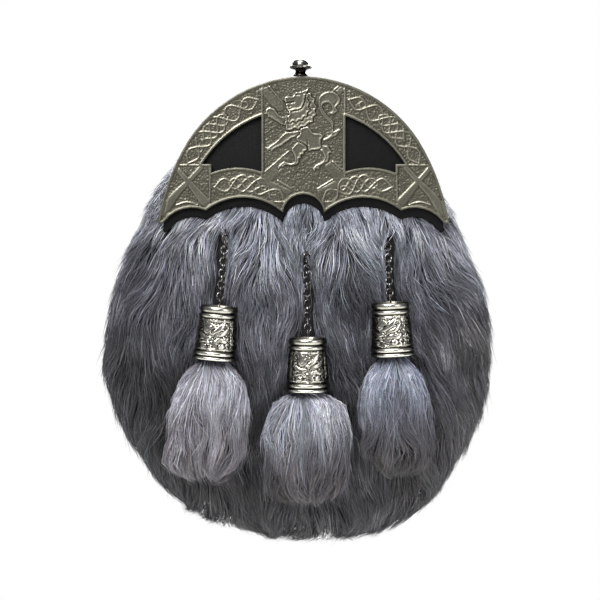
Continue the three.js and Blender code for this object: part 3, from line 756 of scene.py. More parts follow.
def stitchShape():
    # one stitch as a small bowed pad, pointing along X
    length, width, rise = leather["stitch"]
    rows = []
    for t, w, h in ((-1, 0.25, 0.2), (-0.6, 0.9, 0.8), (0, 1, 1), (0.6, 0.9, 0.8), (1, 0.25, 0.2)):
        rows.append([(t * length / 2, 0.0, -w * width / 2), (t * length / 2, h * rise, -w * width / 4),
                     (t * length / 2, h * rise, w * width / 4), (t * length / 2, 0.0, w * width / 2)])
    points = np.array(rows).reshape(-1, 3)
    faces = [[3, 2, 1, 0], [16, 17, 18, 19]]
    for k in range(4):
        for j in range(4):
            n = (j + 1) % 4
            faces.append([k * 4 + j, k * 4 + n, k * 4 + 4 + n, k * 4 + 4 + j])
    return points, faces


def stitchRun(name, runs, y):
    # stitches lying on the plane y, standing towards +Y, along (places, headings)
    shape, faces = stitchShape()
    points, corners, counts = [], [], []
    offset = 0
    for places, headings in runs:
        for (px, pz), (hx, hz) in zip(places, headings):
            along, out = shape[:, 0], shape[:, 2]
            points.append(np.column_stack([px + along * hx - out * hz, y + shape[:, 1] - 0.12,
                                           pz + along * hz + out * hx]))
            for face in faces:
                corners.extend(offset + v for v in face)
                counts.append(len(face))
            offset += len(shape)
    piece = meshFromArrays(name, np.vstack(points) * mm, corners, counts)
    editAll(piece)
    bpy.ops.mesh.normals_make_consistent(inside=False)
    leaveEdit()
    selectOnly(piece)
    bpy.ops.object.shade_smooth()
    return piece


def waxedThread():
    # waxed polyester thread: two twisted plies about 0.4 mm apart, soft shine
    material, tree, output = newMaterial("waxed black thread")
    place = addNode(tree, "ShaderNodeTexCoord")
    twist = addNode(tree, "ShaderNodeTexWave", {"bands_direction": "DIAGONAL"}, {
        "Vector": place.outputs["Object"], "Scale": 700, "Distortion": 1.0})
    tone = addNode(tree, "ShaderNodeValToRGB", inputs={"Fac": twist.outputs["Fac"]})
    fillRamp(tone, [(0.2, "#1d1d1d"), (0.8, "#3a3937")])
    bump = addNode(tree, "ShaderNodeBump", inputs={
        "Strength": 0.5, "Distance": 0.0001, "Height": twist.outputs["Fac"]})
    fibre = addNode(tree, "ShaderNodeBsdfPrincipled", inputs={
        "Base Color": tone.outputs["Color"], "Roughness": 0.5, "Normal": bump.outputs["Normal"]})
    tree.links.new(fibre.outputs[0], output.inputs["Surface"])
    return material


cowhide = blackLeather()
thread = waxedThread()
backing = roundedCopy("cantle_backing", "cantle_leather", leather["edge"])
finishPiece(backing, cowhide, "black_leather", "cantle_backing")
panel = roundedCopy("back_panel", "back_leather", leather["edge"])
finishPiece(panel, cowhide, "black_leather", "back_panel")
flapPiece = roundedCopy("back_flap", "pocket_flap", leather["edge"])
finishPiece(flapPiece, cowhide, "black_leather", "back_flap")
for side in ("left", "right"):
    loopPiece = roundedCopy("strap_loop_" + side, "strap_keeper_" + side, 0.5)
    finishPiece(loopPiece, cowhide, "black_leather", "strap_loop_" + side)

pitch = leather["stitch"][0] + leather["stitchGap"]
panelLoop = closedOutline(outlineSegments("back_panel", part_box("back_panel")[1].y))
panelSeam = evenPoints(insetLoop(panelLoop, leather["seamInset"]), pitch)
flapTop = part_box("back_flap")[1].y / mm
flapLoop = closedOutline(outlineSegments("back_flap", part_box("back_flap")[1].y))
flapSeam = evenPoints(insetLoop(flapLoop, 3), pitch)
finishPiece(stitchRun("panel_stitches", [panelSeam], 0.0), thread, "black_leather")
finishPiece(stitchRun("flap_stitches", [flapSeam], flapTop), thread, "black_leather")
footRuns = []
for side in ("left", "right"):
    low, high = [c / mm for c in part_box("strap_loop_" + side)]
    for z, away in ((low.z, 1), (high.z, -1)):
        corners = np.array([(low.x + 2, z + away * 7), (low.x + 2, z + away * 2),
                            (high.x - 2, z + away * 2), (high.x - 2, z + away * 7)])
        footRuns.append(evenPoints(corners, pitch, closed=False))
finishPiece(stitchRun("keeper_stitches", footRuns, 0.3 + 2.4), thread, "black_leather")
print("leather done")


# ---- chains, eyes, stud and knob

chain = {
    "ringSteps": 20,
    "wireSteps": 8,
    "plump": 1.5,           # wire against the CAD wire
    "oval": 0.8,            # width of a link against its length
}


def darkNickel():
    # black-nickel plated steel wire: near-mirror and smoky, with random lighter spots in its colour as
    # painted glints
    material, tree, output = newMaterial("black nickel plated wire")
    place = addNode(tree, "ShaderNodeTexCoord")
    scuffAndGlint = addNode(tree, "ShaderNodeTexNoise", inputs={
        "Vector": place.outputs["Object"], "Scale": 900, "Detail": 4})
    tone = addNode(tree, "ShaderNodeValToRGB", inputs={"Fac": scuffAndGlint.outputs["Fac"]})
    # the lighter stops of this ramp give the painted glints
    fillRamp(tone, [(0.35, "#272525"), (0.55, "#5b5857"), (0.75, "#d3d1cc")])
    shine = addNode(tree, "ShaderNodeMapRange", inputs={
        "Value": scuffAndGlint.outputs["Fac"], "From Min": 0.3, "From Max": 0.7, "To Min": 0.1, "To Max": 0.2})
    metal = addNode(tree, "ShaderNodeBsdfPrincipled", inputs={
        "Base Color": tone.outputs["Color"], "Metallic": 1.0, "Roughness": shine.outputs[0]})
    tree.links.new(metal.outputs[0], output.inputs["Surface"])
    return material


def linkFrame(node):
    # centre, axis and radii of a CAD ring
    points = nodePoints(node)
    centre = points.mean(0)
    axis = np.linalg.svd(points - centre)[2][2]
    flat = (points - centre) - np.outer((points - centre) @ axis, axis)
    reach = np.linalg.norm(flat, axis=1)
    wire = np.abs((points - centre) @ axis).max()
    return Vector(centre), Vector(axis), float(reach.max() - wire), float(wire)


def makeChain(side):
    nodes = sorted(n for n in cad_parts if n.startswith("chain_" + side))
    links = []
    for node in nodes:
        centre, axis, ring, wire = linkFrame(node)
        bpy.ops.object.select_all(action="DESELECT")
        bpy.ops.mesh.primitive_torus_add(
            major_segments=chain["ringSteps"], minor_segments=chain["wireSteps"], major_radius=ring,
            minor_radius=wire * chain["plump"], location=centre,
            rotation=axis.to_track_quat("Z", "Y").to_euler())
        link = bpy.context.object
        link.data.transform(Matrix.Diagonal((chain["oval"], 1, 1, 1)))
        links.append(link)
    piece = joinPieces(links, "chain_links_" + side)
    bakePlace(piece)
    bpy.ops.object.shade_smooth()
    return piece, nodes


nickel = darkNickel()
for side in sides:
    piece, nodes = makeChain(side)
    finishPiece(piece, nickel, "dark_nickel", *nodes)
    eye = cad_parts["chain_eye_" + side]
    eye.data.materials.clear()
    eye.data.materials.append(nickel)
print("chains done")


def spinProfile(name, rows, steps):
    # rows of radius and height, spun about Z at the origin; open ends lie on the axis
    mesh = bpy.data.meshes.new(name)
    mesh.from_pydata([(r * mm, 0, h * mm) for r, h in rows], [(i, i + 1) for i in range(len(rows) - 1)], [])
    piece = bpy.data.objects.new(name, mesh)
    bpy.context.scene.collection.objects.link(piece)
    editAll(piece)
    bpy.ops.mesh.spin(steps=steps, angle=2 * math.pi, center=(0, 0, 0), axis=(0, 0, 1), use_auto_merge=True)
    bpy.ops.mesh.select_all(action="SELECT")
    bpy.ops.mesh.remove_doubles(threshold=0.004 * mm)
    bpy.ops.mesh.normals_make_consistent(inside=False)
    leaveEdit()
    return piece


def chromeShadedNeck(low, high):
    # chrome on the knob: light on the head, with painted shade darkening the neck and a dark band under the
    # dome
    material, tree, output = newMaterial("chrome plate with painted shade in the neck")
    place = addNode(tree, "ShaderNodeTexCoord")
    split = addNode(tree, "ShaderNodeSeparateXYZ", inputs={"Vector": place.outputs["Object"]})
    level = addNode(tree, "ShaderNodeMapRange", inputs={
        "Value": split.outputs["Z"], "From Min": low, "From Max": high, "To Min": 0.0, "To Max": 1.0})
    tone = addNode(tree, "ShaderNodeValToRGB", inputs={"Fac": level.outputs[0]})
    # neck and the groove under the dome darkened as painted shade; the dome lighter towards its top as
    # painted light
    fillRamp(tone, [(0.0, "#3a352f"), (0.14, "#14110f"), (0.38, "#1c1917"), (0.43, "#918e88"),
                    (0.55, "#a5a29c"), (0.61, "#2a2725"), (0.68, "#7f7c77"), (0.9, "#b1aea9")])
    wipe = addNode(tree, "ShaderNodeTexNoise", inputs={
        "Vector": place.outputs["Object"], "Scale": 500, "Detail": 6, "Roughness": 0.7})
    shine = addNode(tree, "ShaderNodeMapRange", inputs={
        "Value": wipe.outputs["Fac"], "From Min": 0.3, "From Max": 0.7, "To Min": 0.14, "To Max": 0.26})
    metal = addNode(tree, "ShaderNodeBsdfPrincipled", inputs={
        "Base Color": tone.outputs["Color"], "Metallic": 1.0, "Roughness": shine.outputs[0]})
    tree.links.new(metal.outputs[0], output.inputs["Surface"])
    return material


# radius and height above the cantle's top
knobRows = [(0, 0), (3.6, 0), (3.9, .25), (3.8, .8), (3.2, 1.2), (2.8, 1.8), (2.7, 2.6), (3.0, 3.2),
            (4.2, 3.7), (5.4, 4.0), (5.8, 4.4), (5.8, 5.1), (5.5, 5.4), (4.7, 5.5), (4.5, 5.8),
            (4.4, 6.6), (4.0, 7.5), (3.2, 8.3), (1.9, 8.9), (0, 9.2)]


def makeKnob():
    low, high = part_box("knob")
    piece = spinProfile("crown_knob", knobRows, 48)
    piece.location = ((low.x + high.x) / 2, (low.y + high.y) / 2, low.z)
    bakePlace(piece)
    bpy.ops.object.shade_smooth_by_angle(angle=math.radians(40))
    return piece


knobLow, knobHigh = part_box("knob")
finishPiece(makeKnob(), chromeShadedNeck(knobLow.z, knobHigh.z), "polished_chrome", "knob")

studRows = [(0, 0), (5.1, 0), (5.4, .25), (5.4, .55), (5.1, .85), (4.4, 1.1), (3.6, 1.45), (2.6, 1.75),
            (1.4, 1.95), (0, 2.0)]


def makeStud():
    low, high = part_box("flap_stud")
    piece = spinProfile("flap_press_stud", studRows, 40)
    selectOnly(piece)
    piece.rotation_euler = (-math.pi / 2, 0, 0)
    piece.location = ((low.x + high.x) / 2, low.y, (low.z + high.z) / 2)
    bakePlace(piece)
    bpy.ops.object.shade_smooth_by_angle(angle=math.radians(40))
    return piece


finishPiece(makeStud(), nickel, "dark_nickel", "flap_stud")
print("knob and stud done")


# ---- bells: spun cups with an embossed band

bell = {
    "steps": 132,
    "bandLow": 5.4,         # heights of the embossed band above the mouth
    "bandHigh": 21.3,
    "bandFoot": 10.65,      # radii of the band's lower and upper edge
    "bandHead": 9.5,
    "bandRows": 44,
    "emboss": 0.5,
    "ringSize": 1.6,
    "ringRise": 0.96,
}
# outside below the band, and above it: radius and height over the mouth
bellFoot = [(10.9, 0), (11.3, .15), (11.6, .5), (11.65, .9), (11.5, 1.4), (11.05, 1.8), (10.8, 2.1),
            (10.9, 2.4), (11.3, 2.75), (11.45, 3.2), (11.4, 3.8), (11.1, 4.25), (10.75, 4.6), (10.65, 5.0)]
bellHead = [(9.5, 21.7), (9.65, 22.1), (10.0, 22.5), (10.1, 23), (10.0, 23.5), (9.6, 23.95), (9.3, 24.3),
            (9.35, 24.7), (9.75, 25.1), (9.95, 25.6), (10.0, 26.3), (9.9, 27), (9.6, 27.5), (9.35, 27.8),
            (9.2, 28.0)]
# embossed strokes of one panel: rows of distance round the bell, height over the band's foot, half-width
flowerStrokes = {
    "stem": (0.6, [(2.5, 0.8, .5), (1, 3.6, .6), (-.6, 6.4, .6), (-2.6, 9, .7)]),
    "flower": (1.0, [(-3.4, 11.2, 2.7), (-3.2, 11.8, 2.6)]),
    "crown a": (0.9, [(-5, 12.8, .8), (-6.6, 14.8, .4)]),
    "crown b": (0.9, [(-3.8, 13.4, .8), (-4.4, 15.4, .4)]),
    "crown c": (0.9, [(-2.4, 13.2, .8), (-2, 15.3, .4)]),
    "leaf right": (0.9, [(-.4, 8.6, .6), (2.2, 10.4, 1.4), (4.4, 12.4, 1.3), (6.2, 14.4, .5)]),
    "leaf far right": (0.8, [(1.6, 8, .5), (4.8, 8.6, 1.2), (7.4, 10.4, .9), (8.8, 12, .4)]),
    "leaf left": (0.9, [(-1, 6.6, .6), (-4, 6, 1.3), (-6.8, 7.4, 1.2), (-8.8, 9.4, .5)]),
    "scroll": (0.8, [(-9, 5, .5), (-6.4, 4, .8), (-3.8, 4.6, .8), (-1.6, 3.4, .7)]),
    "leaf low right": (0.9, [(1.4, 4.8, .6), (4, 5.6, 1.2), (6.6, 4.8, 1.1), (8.8, 6.4, .5)]),
    "bud": (1.0, [(5.2, 2.4, 1.5), (4.2, 2.2, 1.2)]),
    "bud low": (0.9, [(-5.4, 2, 1.4), (-4.2, 2, 1.1)]),
    "curl": (0.7, [(8.6, 1.4, .5), (7.6, 3, .6), (8.8, 4.2, .4)]),
}
flowerCuts = [[(-5.4, 11.6, .3), (-3.4, 9.6, .35), (-1.2, 11.6, .3)], [(-5, 13, .3), (-3.4, 11.2, .35),
              (-1.6, 13, .3)], [(-.2, 9, .25), (2.6, 10.8, .3), (5.4, 13.6, .25)],
              [(-1.6, 6.4, .25), (-4.4, 6.2, .3), (-7.8, 8.4, .25)], [(1.8, 5, .25), (4.4, 5.4, .3),
              (7.6, 5.6, .25)], [(4.2, 2.4, .25), (6, 2.4, .25)], [(-4.4, 2, .25), (-6.2, 2, .25)]]


def bandRelief():
    # heights of the embossed band, rows from its foot up, columns round the bell
    girth = 2 * math.pi * 10.2
    columns = bell["steps"]
    rise = bell["bandHigh"] - bell["bandLow"]
    around = np.arange(columns) * girth / columns
    up = np.linspace(0, rise, bell["bandRows"])
    panelWidth = girth / 3
    x, d = np.meshgrid((around + panelWidth / 2) % panelWidth - panelWidth / 2, up)
    # one panel is worked on its own grid, then read for all three
    grid = np.arange(-panelWidth / 2, panelWidth / 2 + 0.2, 0.2)
    fineX, fineD = np.meshgrid(grid, np.arange(0, rise + 0.2, 0.2))
    relief = newRelief(fineX, fineD)
    for lift, rows in flowerStrokes.values():
        stamp(relief, rows, lift, flat=2.4, groove=0.25)
    for rows in flowerCuts:
        stamp(relief, rows, 0.5, sign=-1)
    for edge in (-panelWidth / 2 + 0.5, panelWidth / 2 - 0.5):
        stamp(relief, [(edge, 0.4, .45), (edge, rise - 0.4, .45)], 1.0)
    for level in (0.6, rise - 0.6):
        stamp(relief, [(-panelWidth / 2 + 0.6, level, .4), (panelWidth / 2 - 0.6, level, .4)], 0.8)
    rough = blurred(dice.normal(size=fineX.shape), 2)
    bare = 1 - smoothStep(0.05, 0.35, relief["height"])
    relief["height"] += 0.3 * bare * rough / rough.std()
    column = np.clip(((x + panelWidth / 2) / 0.2).round().astype(int), 0, fineX.shape[1] - 1)
    line = np.clip((d / 0.2).round().astype(int), 0, fineX.shape[0] - 1)
    return relief["height"][line, column]


bellBand = bandRelief()


def bellFrame(side):
    # mouth centre, axis towards the top, and height of the CAD bell
    points = nodePoints("bell_" + side)
    centre = points.mean(0)
    values, axes = np.linalg.eigh(np.cov((points - centre).T))
    odd = 0 if abs(values[0] - values[1]) > abs(values[2] - values[1]) else 2
    axis = axes[:, odd] * np.sign(axes[2, odd])
    for _ in range(3):
        level = (points - centre) @ axis
        mouth = points[level < level.min() + 0.35 * mm].mean(0)
        top = points[np.abs(level - level.min() - 28 * mm) < 0.35 * mm].mean(0)
        axis = (top - mouth) / np.linalg.norm(top - mouth)
    return Vector(mouth), Vector(axis)


def makeBell(side):
    mouth, axis = bellFrame(side)
    steps = bell["steps"]
    narrowing = bell["bandHead"] - bell["bandFoot"]
    climb = bell["bandHigh"] - bell["bandLow"]
    band = [(float(bell["bandFoot"] + narrowing * t), float(bell["bandLow"] + climb * t))
            for t in np.linspace(0, 1, bell["bandRows"])]
    inner = [(0, 25.2), (8.2, 25.2), (8.35, 24.6), (9.6, 4), (9.95, 0.6), (10.3, 0)]
    crown = [(8.5, 27.9), (8.25, 27.6), (8.2, 26.6), (8.0, 26.4), (0, 26.4)]
    rows = inner + bellFoot + band + bellHead + crown
    first = len(inner) + len(bellFoot)
    angles = np.arange(steps) * 2 * np.pi / steps
    points, index = [], []
    for k, (r, h) in enumerate(rows):
        if r == 0:
            index.append([len(points)] * steps)
            points.append((0, 0, h))
            continue
        index.append(list(range(len(points), len(points) + steps)))
        inBand = first <= k < first + len(band)
        swell = bell["emboss"] * bellBand[k - first] if inBand else np.zeros(steps)
        for angle, more in zip(angles, swell):
            points.append(((r + more) * math.cos(angle), (r + more) * math.sin(angle), h))
    faces = []
    for a, b in zip(index, index[1:]):
        for i in range(steps):
            j = (i + 1) % steps
            face = [a[i], a[j], b[j], b[i]]
            faces.append([v for n, v in enumerate(face) if v not in face[:n]])
    corners = np.concatenate([np.array(f) for f in faces])
    piece = meshFromArrays("bell_cup_" + side, np.array(points) * mm, corners, [len(f) for f in faces])
    rubAndPaintedLight = piece.data.attributes.new("rubAndPaintedLight", "FLOAT", "POINT")
    wornAndPaintedLight = np.zeros(len(points))
    high = bellBand - blurred(bellBand, 8)
    outer = np.array([[r, h] for r, h in rows[len(inner):-len(crown)]])
    near = np.exp(-((outer[:, None, 1] - outer[None, :, 1]) / 0.8) ** 2)
    proud = outer[:, 0] - near @ outer[:, 0] / near.sum(1)
    # the sides turned away from the front are darkened: a painted dark reflection
    paintedDarkFlank = 0.5 * smoothStep(0.6, 0.96, np.abs(np.cos(angles + math.radians(bellTurns[side]))))
    for k in range(len(outer)):
        wornAndPaintedLight[index[len(inner) + k]] = 1.7 * proud[k] - 0.12 - paintedDarkFlank
    for k in range(len(band)):
        wornAndPaintedLight[index[first + k]] = high[k] - paintedDarkFlank
    rubAndPaintedLight.data.foreach_set("value", wornAndPaintedLight.astype(np.float32))
    # soldered ring on the crown
    bpy.ops.object.select_all(action="DESELECT")
    bpy.ops.mesh.primitive_torus_add(
        major_segments=24, minor_segments=8, major_radius=bell["ringSize"] * mm, minor_radius=0.4 * mm,
        location=(0, 0, (28 + bell["ringRise"] - bell["ringSize"]) * mm), rotation=(math.pi / 2, 0, 0))
    ring = bpy.context.object
    piece = joinPieces([piece, ring], "bell_cup_" + side)
    # panels face the front: turned about the axis, then stood on the CAD bell's axis
    tilt = Vector((0, 0, 1)).rotation_difference(axis)
    turn = Matrix.Rotation(math.radians(bellTurns[side]), 4, "Z")
    piece.data.transform(Matrix.Translation(mouth) @ tilt.to_matrix().to_4x4() @ turn)
    editAll(piece)
    bpy.ops.mesh.normals_make_consistent(inside=False)
    leaveEdit()
    selectOnly(piece)
    bpy.ops.object.shade_smooth_by_angle(angle=math.radians(50))
    return piece


bellTurns = {"left": -100, "middle": -88, "right": -112}


def silverBell():
    # nickel-silver stamping, oxidised then polished: black in the hollows, warm white on the high ground; the
    # sides turned away from the front are darkened as a painted reflection
    material, tree, output = newMaterial("oxidised buffed nickel silver")
    place = addNode(tree, "ShaderNodeTexCoord")
    wornAndPaintedLight = addNode(tree, "ShaderNodeAttribute", {"attribute_name": "rubAndPaintedLight"})
    cloud = addNode(tree, "ShaderNodeTexNoise", inputs={
        "Vector": place.outputs["Object"], "Scale": 220, "Detail": 5})
    level = addNode(tree, "ShaderNodeMath", {"operation": "MULTIPLY_ADD"}, {
        0: wornAndPaintedLight.outputs["Fac"], 1: 0.9, 2: 0.5})
    shifted = addNode(tree, "ShaderNodeMath", {"operation": "MULTIPLY_ADD"}, {
        0: cloud.outputs["Fac"], 1: 0.2, 2: level.outputs[0]})
    tone = addNode(tree, "ShaderNodeValToRGB", inputs={"Fac": shifted.outputs[0]})
    fillRamp(tone, [(0.15, "#12110f"), (0.42, "#4b483f"), (0.62, "#a8a599"), (0.82, "#eeece2")])
    rough = addNode(tree, "ShaderNodeMapRange", inputs={
        "Value": shifted.outputs[0], "From Min": 0.3, "From Max": 0.8, "To Min": 0.4, "To Max": 0.19})
    metal = addNode(tree, "ShaderNodeBsdfPrincipled", inputs={
        "Base Color": tone.outputs["Color"], "Metallic": 1.0, "Roughness": rough.outputs[0]})
    tree.links.new(metal.outputs[0], output.inputs["Surface"])
    return material


silver = silverBell()
for side in sides:
    finishPiece(makeBell(side), silver, "silver_bell", "bell_" + side)
print("bells done")


# ---- fur: strands combed over a hide

def furMaterial(name, attribute):
    # dyed rabbit guard hair: soft, slightly waxy, each hair its own grey
    material, tree, output = newMaterial(name)
    hairTone = addNode(tree, "ShaderNodeAttribute", {"attribute_name": attribute})
    hair = addNode(tree, "ShaderNodeBsdfPrincipled", inputs={
        "Base Color": hairTone.outputs["Color"], "Roughness": 0.5, "Specular IOR Level": 0.35,
        "Sheen Weight": 0.15, "Sheen Roughness": 0.5, "Sheen Tint": colour("#c9cdd8")})
    tree.links.new(hair.outputs[0], output.inputs["Surface"])
    return material


def waves(seed, wavelengths, count=7):
    # a smooth random field over (x, z) in millimetres, about -1 to 1
    own = np.random.default_rng(seed)
    turn = own.uniform(0, 2 * np.pi, count)
    size = own.uniform(*wavelengths, count)
    phase = own.uniform(0, 2 * np.pi, count)

    def field(points):
        total = np.zeros(len(points))
        for a, s, p in zip(turn, size, phase):
            total += np.sin((points[:, 0] * np.cos(a) + points[:, 1] * np.sin(a)) * 2 * np.pi / s + p)
        return total / math.sqrt(count / 2)
    return field


def blendTable(rows, points, reach):
    # values charted at places (x, z, value...), blended by distance
    rows = np.array(rows, float)
    away = np.hypot(points[:, None, 0] - rows[None, :, 0], points[:, None, 1] - rows[None, :, 1])
    weight = 1 / (away ** 2 + reach ** 2) ** 1.5
    weight /= weight.sum(1)[:, None]
    return weight @ rows[:, 2:]


def strandMesh(name, rows, widths, tones, taper):
    # rows (count, levels, 3): centre lines from root to tip, as closed three-sided hairs
    count, levels, _ = rows.shape
    rings = levels - 1
    along = np.gradient(rows, axis=1)
    along /= np.linalg.norm(along, axis=2)[:, :, None] + 1e-12
    aside = dice.normal(size=(count, 1, 3))
    across = np.cross(along, aside)
    across /= np.linalg.norm(across, axis=2)[:, :, None] + 1e-12
    up = np.cross(along, across)
    parts = []
    for k in range(rings):
        for j in range(3):
            angle = 2 * math.pi * j / 3
            swing = math.cos(angle) * across[:, k] + math.sin(angle) * up[:, k]
            parts.append(rows[:, k] + swing * (widths * taper[k] / 2)[:, None])
    parts.append(rows[:, -1])
    perStrand = rings * 3 + 1
    points = np.stack(parts, axis=1).reshape(-1, 3)
    shape, counts, places = [0, 2, 1], [3], [(0, 0), (.5, 0), (1, 0)]
    for k in range(rings - 1):
        for j in range(3):
            n = (j + 1) % 3
            shape += [k * 3 + j, k * 3 + n, k * 3 + 3 + n, k * 3 + 3 + j]
            counts.append(4)
            low, high = k / rings, (k + 1) / rings
            places += [(j / 3, low), ((j + 1) / 3, low), ((j + 1) / 3, high), (j / 3, high)]
    for j in range(3):
        n = (j + 1) % 3
        shape += [(rings - 1) * 3 + j, (rings - 1) * 3 + n, rings * 3]
        counts.append(3)
        low = (rings - 1) / rings
        places += [(j / 3, low), ((j + 1) / 3, low), ((j + .5) / 3, 1)]
    corners = (np.arange(count)[:, None] * perStrand + np.array(shape)[None, :]).ravel()
    piece = meshFromArrays(name, points, corners, np.tile(counts, count))
    # every hair has its own small cell of the map
    across = int(math.ceil(math.sqrt(count)))
    cell = np.stack([np.arange(count) % across, np.arange(count) // across], axis=1)
    spread = (cell[:, None, :] + 0.15 + 0.7 * np.array(places)[None, :, :]) / across
    layer = piece.data.uv_layers.new(name="OFBake")
    layer.data.foreach_set("uv", spread.astype(np.float32).ravel())
    shades = np.concatenate([np.repeat(tones[:, :rings], 3, axis=1), tones[:, rings:]], axis=1)
    full = np.concatenate([shades, np.ones((count, perStrand, 1))], axis=2)
    paint = piece.data.color_attributes.new("hairTone", "FLOAT_COLOR", "POINT")
    paint.data.foreach_set("color", full.astype(np.float32).ravel())
    selectOnly(piece)
    bpy.ops.object.shade_smooth()
    return piece


def surfaceTriangles(piece):
    mesh = piece.data
    mesh.calc_loop_triangles()
    points = np.zeros(len(mesh.vertices) * 3, np.float32)
    mesh.vertices.foreach_get("co", points)
    points = points.reshape(-1, 3).astype(float)
    triangles = np.zeros(len(mesh.loop_triangles) * 3, np.int32)
    mesh.loop_triangles.foreach_get("vertices", triangles)
    return points, triangles.reshape(-1, 3)


def scatterRoots(piece, count, weigh):
    # random places on the piece's faces, as many as weigh(centres, normals) asks
    points, triangles = surfaceTriangles(piece)
    a, b, c = (points[triangles[:, k]] for k in range(3))
    normal = np.cross(b - a, c - a)
    area = np.linalg.norm(normal, axis=1)
    normal /= area[:, None] + 1e-15
    chance = area * weigh((a + b + c) / 3, normal)
    pick = dice.choice(len(triangles), count, p=chance / chance.sum())
    u, v = dice.random(count), dice.random(count)
    over = u + v > 1
    u, v = np.where(over, 1 - u, u), np.where(over, 1 - v, v)
    roots = a[pick] + u[:, None] * (b - a)[pick] + v[:, None] * (c - a)[pick]
    return roots, normal[pick]


def combStrands(tree, roots, normals, lengths, rises, flow, shares, spill):
    # each hair walks over the surface with the flow and lifts off it towards its tip
    place, normal = roots.copy(), normals.copy()
    rows = [roots]
    done = 0
    for k, share in enumerate(shares):
        heading = flow(place, normal)
        into = (heading * normal).sum(1)
        heading = heading - normal * (np.minimum(into, 0) + 0.6 * np.maximum(into, 0))[:, None]
        heading /= np.linalg.norm(heading, axis=1)[:, None] + 1e-9
        target = place + heading * (lengths * (share - done))[:, None]
        found = [tree.find_nearest(Vector(t)) for t in target]
        place = np.array([f[0] for f in found])
        normal = np.array([f[1] for f in found])
        extra = np.maximum(((target - place) * normal).sum(1), 0) * spill
        rows.append(place + normal * (rises[:, k] + extra)[:, None])
        done = share
    return np.stack(rows, axis=1)


def clumpStrands(rows, centres, pull):
    # tips lean towards the hair nearest the middle of their lock
    tree = KDTree(len(centres))
    for i, index in enumerate(centres):
        tree.insert(Vector(rows[index, 0]), i)
    tree.balance()
    lock = np.array([tree.find(Vector(root))[1] for root in rows[:, 0]])
    guide = rows[centres[lock]]
    share = np.linspace(0, 1, rows.shape[1])[None, :, None] ** 1.3
    return rows + (guide - rows) * share * pull[lock][:, None, None], lock


pelt = {
    "strands": 31500,
    "width": 0.46,          # millimetres at the root
    "inset": 6.4,           # hide below the fur's outer form
    "topInset": 4.4,        # how much less it is where the fur is short
    "lock": 27,             # hairs to a lock
    "longest": 30,
    "shortest": 12,
    "hideWall": 1.6,
    "pieces": 4,
    "shares": (0.3, 0.64, 1.0),
}
# how far the fur runs sideways for each unit down: x, z, slope
flowTable = [(-75, 21, -.5), (-60, -4, -.55), (-90, -24, -.35), (-100, -64, -.12), (-90, -104, .12),
             (-60, -134, .1), (-30, -14, -.28), (-25, -64, -.06), (0, -4, 0), (0, -44, .05), (0, -144, .02),
             (30, -14, .28), (60, -4, .6), (75, -44, .55), (95, -64, .42), (85, -104, .2), (60, -134, .12),
             (30, -70, .16), (60, -85, .34), (-60, -75, -.12)]
furGreys = {
    "frost": "#a8aab4",
    "silver": "#a0a4b0",
    "dove": "#9e9ea6",
    "slate": "#686870",
    "ash": "#585860",
    "stone": "#545252",
    "graphite": "#4a4a50",
    "iron": "#444242",
    "charcoal": "#3c3c3e",
    "soot": "#363434",
    "coal": "#2e2e2e",
}
# colour of the fur's outer layer: x, z, grey; the fur's own greys, darkening towards the bottom, where part
# of the darkening is painted shade for light falling from above
toneTable = [(0, 0, "silver"), (-25, -20, "silver"), (30, -15, "silver"), (-55, -8, "frost"),
             (60, -2, "silver"), (-78, 20, "dove"), (78, 5, "dove"), (-88, -36, "ash"),
             (-100, -76, "charcoal"), (-45, -45, "slate"), (-15, -50, "slate"), (25, -50, "graphite"),
             (70, -50, "ash"), (95, -70, "stone"), (-75, -100, "coal"), (-30, -100, "charcoal"),
             (20, -110, "charcoal"), (75, -100, "graphite"), (-60, -130, "soot"), (0, -150, "charcoal"),
             (60, -135, "iron"), (-30, -155, "soot"), (0, -168, "iron"), (90, -110, "stone")]


def furHide():
    # the pelt's skin: the outer form without its dents, drawn in and opened at the back
    piece = copyNode("fur_pouch", "fur_pelt_hide")
    editAll(piece)
    bpy.ops.mesh.convex_hull()
    leaveEdit()
    applyModifier(piece, "REMESH", mode="VOXEL", voxel_size=4.2 * mm)
    applyModifier(piece, "SMOOTH", factor=0.5, iterations=6)
    points, _ = surfaceTriangles(piece)
    normals = np.zeros(len(piece.data.vertices) * 3, np.float32)
    piece.data.vertices.foreach_get("normal", normals)
    normals = normals.reshape(-1, 3)
    depth = pelt["inset"] - pelt["topInset"] * smoothStep(-10, 25, points[:, 2] / mm)
    move = -normals * depth[:, None] * mm
    move[:, 1] = np.where(normals[:, 1] > 0, 0, move[:, 1])
    piece.data.vertices.foreach_set("co", (points + move).astype(np.float32).ravel())
    piece.data.update()
    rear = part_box("fur_pouch")[1].y - 0.4 * mm
    editAll(piece)
    bpy.ops.mesh.bisect(plane_co=(0, rear, 0), plane_no=(0, 1, 0), clear_outer=True)
    leaveEdit()
    return piece


def peltFlow(swirl, fine, spread):
    def flow(place, normal):
        flat = place[:, [0, 2]] / mm
        lean = blendTable(flowTable, flat, 14)[:, 0]
        angle = np.arctan(lean) + 0.2 * swirl(flat) + 0.13 * fine(flat) + spread
        return np.column_stack([np.sin(angle), np.zeros(len(flat)), -np.cos(angle)])
    return flow


bellLine = {}
for side in sides:
    mouth, axis = bellFrame(side)
    eyeLow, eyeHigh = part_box("chain_eye_" + side)
    tasselLow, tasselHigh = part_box("fur_tassel_" + side)
    bellLine[side] = {
        "top": np.array(mouth + axis * 28 * mm) / mm, "mouth": np.array(mouth) / mm,
        "eye": np.array([(eyeLow.x + eyeHigh.x) / 2, eyeLow.y, (eyeLow.z + eyeHigh.z) / 2]) / mm,
        "tasselLow": np.array(tasselLow) / mm, "tasselHigh": np.array(tasselHigh) / mm,
    }


